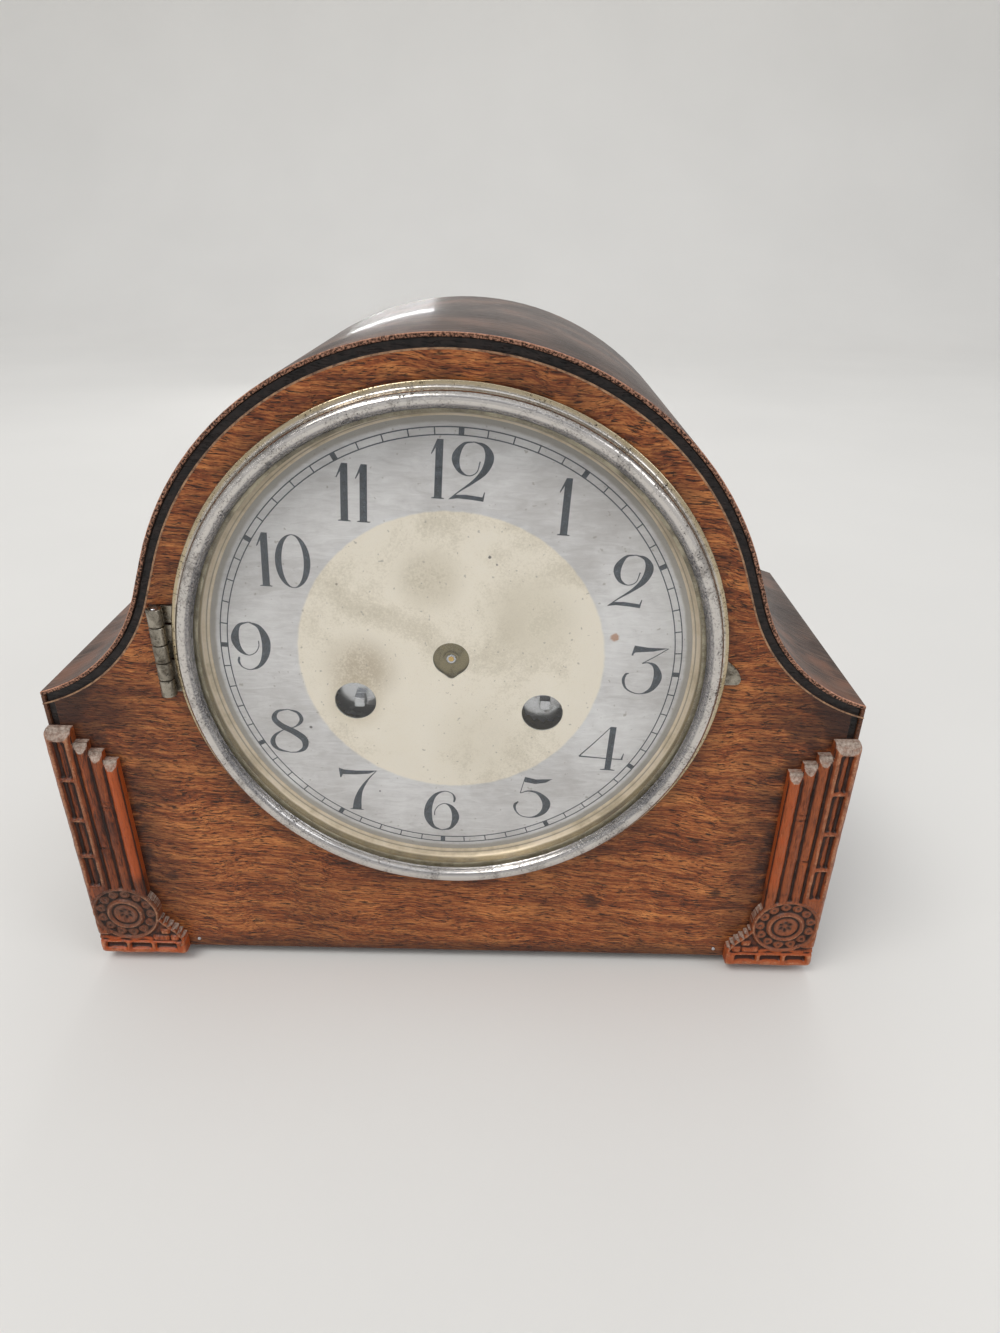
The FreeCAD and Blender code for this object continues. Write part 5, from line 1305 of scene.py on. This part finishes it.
def make_thumb_tab():
    """Pear-shaped ear, thin and slightly dished."""
    outline = [(80.5, 4.2), (81.8, 3.6), (83.2, 2.6), (84.6, 1.4), (85.9, -0.1), (86.9, -1.8),
               (87.3, -3.3), (86.9, -4.6), (85.8, -5.0), (84.3, -5.0), (82.6, -5.0),
               (80.5, -4.8)]
    path = [p[:2] for p in smooth_path([(x, z, 1.0) for x, z in outline], 5)]
    middle = (83.9, -1.6)
    bm = bmesh.new()
    skin(bm, [[bm.verts.new(to_frame((middle[0] + (x - middle[0]) * share, level,
                                      middle[1] + (z - middle[1]) * share)))
               for x, z in path]
              for share, level in ((1.0, -0.72), (1.0, -1.0), (0.97, -1.15), (0.88, -1.13),
                                   (0.80, -1.0))], caps=True)
    settle(closed("thumb_ear", bm, "hinge_nickel", 40.0), "bezel", "bezel_nickel",
           "bezel_thumb_tab")


# ---------------------------------------------------------------- back and inside

def make_back():
    dressed("back_door", 0.6, "door_wood", segments=3)
    for node in ("door_hinge_frame_leaves", "door_hinge_door_leaves"):
        dressed(node, 0.15, "door_steel")
    for middle in (-59.0, 37.0):
        for name, body, place in (
                ("frame_leaf_screws", "case", (-76.6, 113.0, middle - 6.2)),
                ("door_leaf_screws", "rear_door", (-61.4, 118.3, middle + 6.0))):
            head = screw_head(1.7, 0.7, 0.45, 0.5)
            head.transform(Matrix.Rotation(math.pi, 4, "Z"))
            screws = copies_round("%s_%d" % (name, middle > 0), head, 2, 3.0, math.pi / 2,
                                  place, "bright_steel")
            settle(screws, body, "bright_steel")
    dressed("door_turn_button", 0.7, "door_steel", segments=3)
    dressed("turn_button_screw", 0.2, "bright_steel")


def crossed_wheel(node, hub):
    """A wheel's node with its web cut out between spokes, as real clock wheels have."""
    bm = node_mesh(node)
    low, high = ([(corner[i] - CENTRE[i]) / MM for i in range(3)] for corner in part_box(node))
    cx, cz = (low[0] + high[0]) / 2, (low[2] + high[2]) / 2
    tip = max(high[0] - low[0], high[2] - low[2]) / 2
    # The wheel's disc is what reaches furthest from the arbor
    disc = [(v.co.y - CENTRE.y) / MM for v in bm.verts
            if math.hypot((v.co.x - CENTRE.x) / MM - cx, (v.co.z - CENTRE.z) / MM - cz)
            > tip * 0.9]
    outer = tip * 0.80
    arm = min(1.5, outer * 0.16)
    spokes = 5
    pitch = 2 * math.pi / spokes
    knife = bmesh.new()
    for k in range(spokes):
        ring = []
        for reach, shares in ((outer, np.linspace(0, 1, 9)), (hub, np.linspace(1, 0, 5))):
            inset = math.asin(min(0.9, arm / 2 / reach))
            for share in shares:
                turn = pitch * k + inset + (pitch - 2 * inset) * share
                ring.append((cx + reach * math.cos(turn), cz + reach * math.sin(turn)))
        skin(knife, [[knife.verts.new(to_frame((x, level, z))) for x, z in ring]
                     for level in (min(disc) - 0.4, max(disc) + 0.4)], caps=True)
    bmesh.ops.recalc_face_normals(knife, faces=knife.faces)
    piece = piece_of(node + "_crossed", carve(bm, knife), "wheel_brass")
    settle(piece, BODY_OF[node], SLOT_OF[node], node)


def make_gong():
    """The gong's strip is wound by its tree; spoke and stud carry its inner end."""
    x, y, z = GONG_MIDDLE
    strip = grown("gong_strip", bpy.data.meshes.new("gong_start"), spiral_tree(), {
        "Turns": 3.0, "Outer radius": 33.0 * MM, "Inner radius": 15.0 * MM,
        "Strip width": 2.4 * MM, "Strip thickness": 1.6 * MM, "Middle": to_frame(GONG_MIDDLE),
        "Finish": finish("blued_steel")})
    spoke = small_block(15.8, 2.4, 2.4, 0.3, to_frame((x - 7.9, y, z - 0.4)))
    stud = lathe([(0.0, y - 1.2), (2.2, y - 1.2), (2.6, y - 0.8), (2.6, y + 3.6),
                  (0.0, y + 3.6)], (x, z), "y", 32, loop=False)
    bm = bmesh_of(strip, mesh_of("spoke", spoke), mesh_of("stud", stud))
    bmesh.ops.recalc_face_normals(bm, faces=bm.faces)
    piece = piece_of("wound_gong", mesh_of("wound_gong", bm), "blued_steel", 35.0)
    settle(piece, "case", "blued_steel", "gong_coil")


def make_movement():
    for node in ("movement_front_plate", "movement_back_plate"):
        dressed(node, 0.25, "plate_brass")
    for node, hub in (("going_second_wheel", 3.4), ("centre_wheel", 2.9), ("third_wheel", 2.6),
                      ("escape_wheel", 2.4), ("minute_wheel", 2.6),
                      ("strike_second_wheel", 3.4), ("strike_pin_wheel", 2.9),
                      ("strike_warning_wheel", 2.6)):
        crossed_wheel(node, hub)
    dressed("hour_wheel", 0.08, "plate_brass")
    for node, edge in (("plate_pillars", 0.3), ("pillar_nuts", 0.3), ("mounting_straps", 0.3),
                       ("mounting_screws", 0.25), ("going_barrel", 0.3),
                       ("strike_barrel", 0.3), ("going_winding_arbor", 0.15),
                       ("strike_winding_arbor", 0.15), ("going_click", 0.15),
                       ("strike_click", 0.15), ("click_screws", 0.15), ("cannon_pinion", 0.1),
                       ("anchor_and_crutch", 0.12), ("pendulum_cock", 0.25),
                       ("suspension_spring", 0.02), ("pendulum_rod", 0.15),
                       ("pendulum_bob", 0.3), ("rating_nut", 0.25), ("strike_fly", 0.06),
                       ("hammer_arm", 0.1), ("hammer_head", 0.4), ("gong_post", 0.5)):
        dressed(node, edge)
    make_gong()


# ---------------------------------------------------------------- stage

def make_stage():
    """A floor that bends up behind the clock, the camera, the lamps and the sky."""
    half = 4.0
    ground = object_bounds()[0][2]
    rows = [(-half, ground)]
    for i in range(13):
        turn = math.radians(90 * i / 12)
        rows.append((1.6 + 0.8 * math.sin(turn), ground + 0.8 * (1 - math.cos(turn))))
    rows.append((2.4, ground + 4.0))
    points = [(x, y, height) for y, height in rows for x in (-half, half)]
    faces = [(2 * i, 2 * i + 1, 2 * i + 3, 2 * i + 2) for i in range(len(rows) - 1)]
    mesh = bpy.data.meshes.new("floor")
    mesh.from_pydata(points, [], faces)
    piece_of("pale_floor", mesh, "pale_floor", 60.0)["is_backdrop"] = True
    lens = bpy.data.cameras.new("photo_camera")
    lens.lens = 23.03
    lens.sensor_width = 36.0
    lens.clip_start = 0.01
    camera = linked("photo_camera", lens)
    # Right, up and back of the camera
    turn = Matrix(((0.99980565, 0.01657718, 0.01067014), (-0.01713889, 0.4634113, 0.88597755),
                   (0.00974234, -0.88598824, 0.46360535))).transposed().to_4x4()
    camera.matrix_world = Matrix.Translation((0.0174, -0.28358, 0.2398)) @ turn
    bpy.context.scene.camera = camera
    for name, place, aim, width, height, power, colour in (
            ("window_light", (-0.9, -0.9, 2.0), (0.0, 0.0, 0.12), 1.2, 0.9, 19.0,
             (1.0, 0.98, 0.95)),
            ("right_fill", (1.6, -0.9, 1.2), (0.0, 0.0, 0.1), 0.9, 0.9, 5.0,
             (0.95, 0.97, 1.0)),
            ("rear_light", (0.2, 1.8, 2.0), (0.0, 0.0, 0.12), 1.2, 0.6, 7.0,
             (0.97, 0.98, 1.0)),
            ("far_window", (-0.22, 1.19, 0.275), (-0.02, 0.0, 0.21), 0.19, 0.05, 0.55,
             (1.0, 1.0, 1.0))):
        lamp = bpy.data.lights.new(name, "AREA")
        lamp.shape = "RECTANGLE"
        lamp.size = width
        lamp.size_y = height
        lamp.energy = power
        lamp.color = colour
        holder = linked(name, lamp)
        holder.visible_camera = False
        aim_at = (Vector(aim) - Vector(place)).to_track_quat("-Z", "Y")
        holder.matrix_world = Matrix.Translation(place) @ aim_at.to_matrix().to_4x4()
    make_sky()
    bpy.context.scene.view_settings.view_transform = "Standard"


def make_sky():
    """Pale walls, a dim belt above them and a bright ceiling."""
    world = bpy.data.worlds.new("studio")
    bpy.context.scene.world = world
    world.use_nodes = True
    sky = Nodes(world.node_tree)
    height = sky.axes(sky.node("ShaderNodeTexCoord", {}, {}, "Generated"))[2]
    bands = [(0.0, (0.66, 0.66, 0.66, 1.0)), (0.40, (0.66, 0.66, 0.66, 1.0)),
             (0.58, (0.30, 0.31, 0.33, 1.0)), (0.86, (0.90, 0.92, 0.95, 1.0))]
    sky.put(sky.tree.nodes["Background"].inputs[0],
            sky.node("ShaderNodeValToRGB", {"stops": bands}, {0: height}))


# ---------------------------------------------------------------- add-on

def tint(name, about, red, green, blue):
    return bpy.props.FloatVectorProperty(name=name, description=about, subtype="COLOR_GAMMA",
                                         size=3, min=0, max=1,
                                         default=(red / 255, green / 255, blue / 255))


def length(name, about, millimetres):
    return bpy.props.FloatProperty(name=name, description=about, unit="LENGTH", min=0,
                                   default=millimetres * MM, precision=5)


class ClockSizes(bpy.types.PropertyGroup):
    numeral_height: length("Numeral height", "Height of the hour numerals", 16.4)
    numeral_weight: bpy.props.FloatProperty(
        name="Numeral weight", description="Width of the numerals' thick strokes, 1 is thin",
        default=1.26, min=0.5, max=2)
    minute_mark: length("Minute mark", "Width of a minute mark", 0.36)
    hour_mark: length("Hour mark", "Width of a mark at the hours", 1.5)
    carving_pitch: length("Carving pitch", "Distance between the carving's points", 0.24)
    carving_lumps: length("Carving unevenness", "Height of the carver's unevenness", 0.55)
    line_width: length("Pale line", "Width of the pale line let in along the band", 0.5)
    knuckle_gap: length("Knuckle gap", "Half the gap between two hinge knuckles", 0.13)


class ClockColours(bpy.types.PropertyGroup):
    oak: tint("Front board", "Middle tone of the front's veneer", 138, 69, 32)
    cover: tint("Cover", "Middle tone of the bent cover", 78, 62, 55)
    carving: tint("Carving", "Middle tone of the carved corners", 130, 61, 28)
    dial_ring: tint("Numeral ring", "Paint under the numerals", 213, 211, 211)
    dial_middle: tint("Dial middle", "Paint of the dial's middle", 241, 232, 215)
    ink: tint("Ink", "Middle tone of numerals and marks", 60, 69, 80)
    nickel: tint("Nickel", "Clean nickel of the bezel", 209, 204, 199)
    brass: tint("Brass", "Clean brass of the wheels", 212, 176, 100)


class CLOCK_OT_case(bpy.types.Operator):
    """Make the case: board, cover, sides, base, back frame and feet"""
    bl_idname = "clock.case"
    bl_label = "Case"

    def execute(self, context):
        make_case()
        return {"FINISHED"}


class CLOCK_OT_ornaments(bpy.types.Operator):
    """Make the two carved corner ornaments"""
    bl_idname = "clock.ornaments"
    bl_label = "Corner ornaments"

    def execute(self, context):
        make_ornaments()
        return {"FINISHED"}


class CLOCK_OT_dial(bpy.types.Operator):
    """Make the dial, its numerals and minute marks, and the ring round it"""
    bl_idname = "clock.dial"
    bl_label = "Dial"

    def execute(self, context):
        make_dial()
        make_surround()
        return {"FINISHED"}


class CLOCK_OT_bezel(bpy.types.Operator):
    """Make the bezel, its glass, hinge and thumb tab"""
    bl_idname = "clock.bezel"
    bl_label = "Bezel"

    def execute(self, context):
        make_bezel()
        return {"FINISHED"}


class CLOCK_OT_back(bpy.types.Operator):
    """Make the rear door and its fittings"""
    bl_idname = "clock.back"
    bl_label = "Rear door"

    def execute(self, context):
        make_back()
        return {"FINISHED"}


class CLOCK_OT_movement(bpy.types.Operator):
    """Make the movement, pendulum, hammer and gong"""
    bl_idname = "clock.movement"
    bl_label = "Movement"

    def execute(self, context):
        make_movement()
        return {"FINISHED"}


class CLOCK_OT_stage(bpy.types.Operator):
    """Make the floor, the lamps and the camera"""
    bl_idname = "clock.stage"
    bl_label = "Stage"

    def execute(self, context):
        make_stage()
        return {"FINISHED"}


OPERATORS = (CLOCK_OT_case, CLOCK_OT_ornaments, CLOCK_OT_dial, CLOCK_OT_bezel, CLOCK_OT_back,
             CLOCK_OT_movement, CLOCK_OT_stage)


class CLOCK_PT_pieces(bpy.types.Panel):
    """Lists the clock's pieces and sizes"""
    bl_idname = "CLOCK_PT_pieces"
    bl_label = "Mantel clock"
    bl_space_type = "VIEW_3D"
    bl_region_type = "UI"
    bl_category = "Clock"

    def draw(self, context):
        for operator in OPERATORS:
            self.layout.operator(operator.bl_idname)
        for group in (context.scene.clock_sizes, context.scene.clock_colours):
            for name in group.__annotations__:
                self.layout.prop(group, name)


CLASSES = (ClockSizes, ClockColours) + OPERATORS + (CLOCK_PT_pieces,)


def register():
    for made in CLASSES:
        bpy.utils.register_class(made)
    bpy.types.Scene.clock_sizes = bpy.props.PointerProperty(type=ClockSizes)
    bpy.types.Scene.clock_colours = bpy.props.PointerProperty(type=ClockColours)


def unregister():
    del bpy.types.Scene.clock_colours
    del bpy.types.Scene.clock_sizes
    for made in reversed(CLASSES):
        bpy.utils.unregister_class(made)


def main():
    register()
    for operator in OPERATORS:
        group, name = operator.bl_idname.split(".")
        getattr(getattr(bpy.ops, group), name)()


if __name__ == "__main__":
    main()
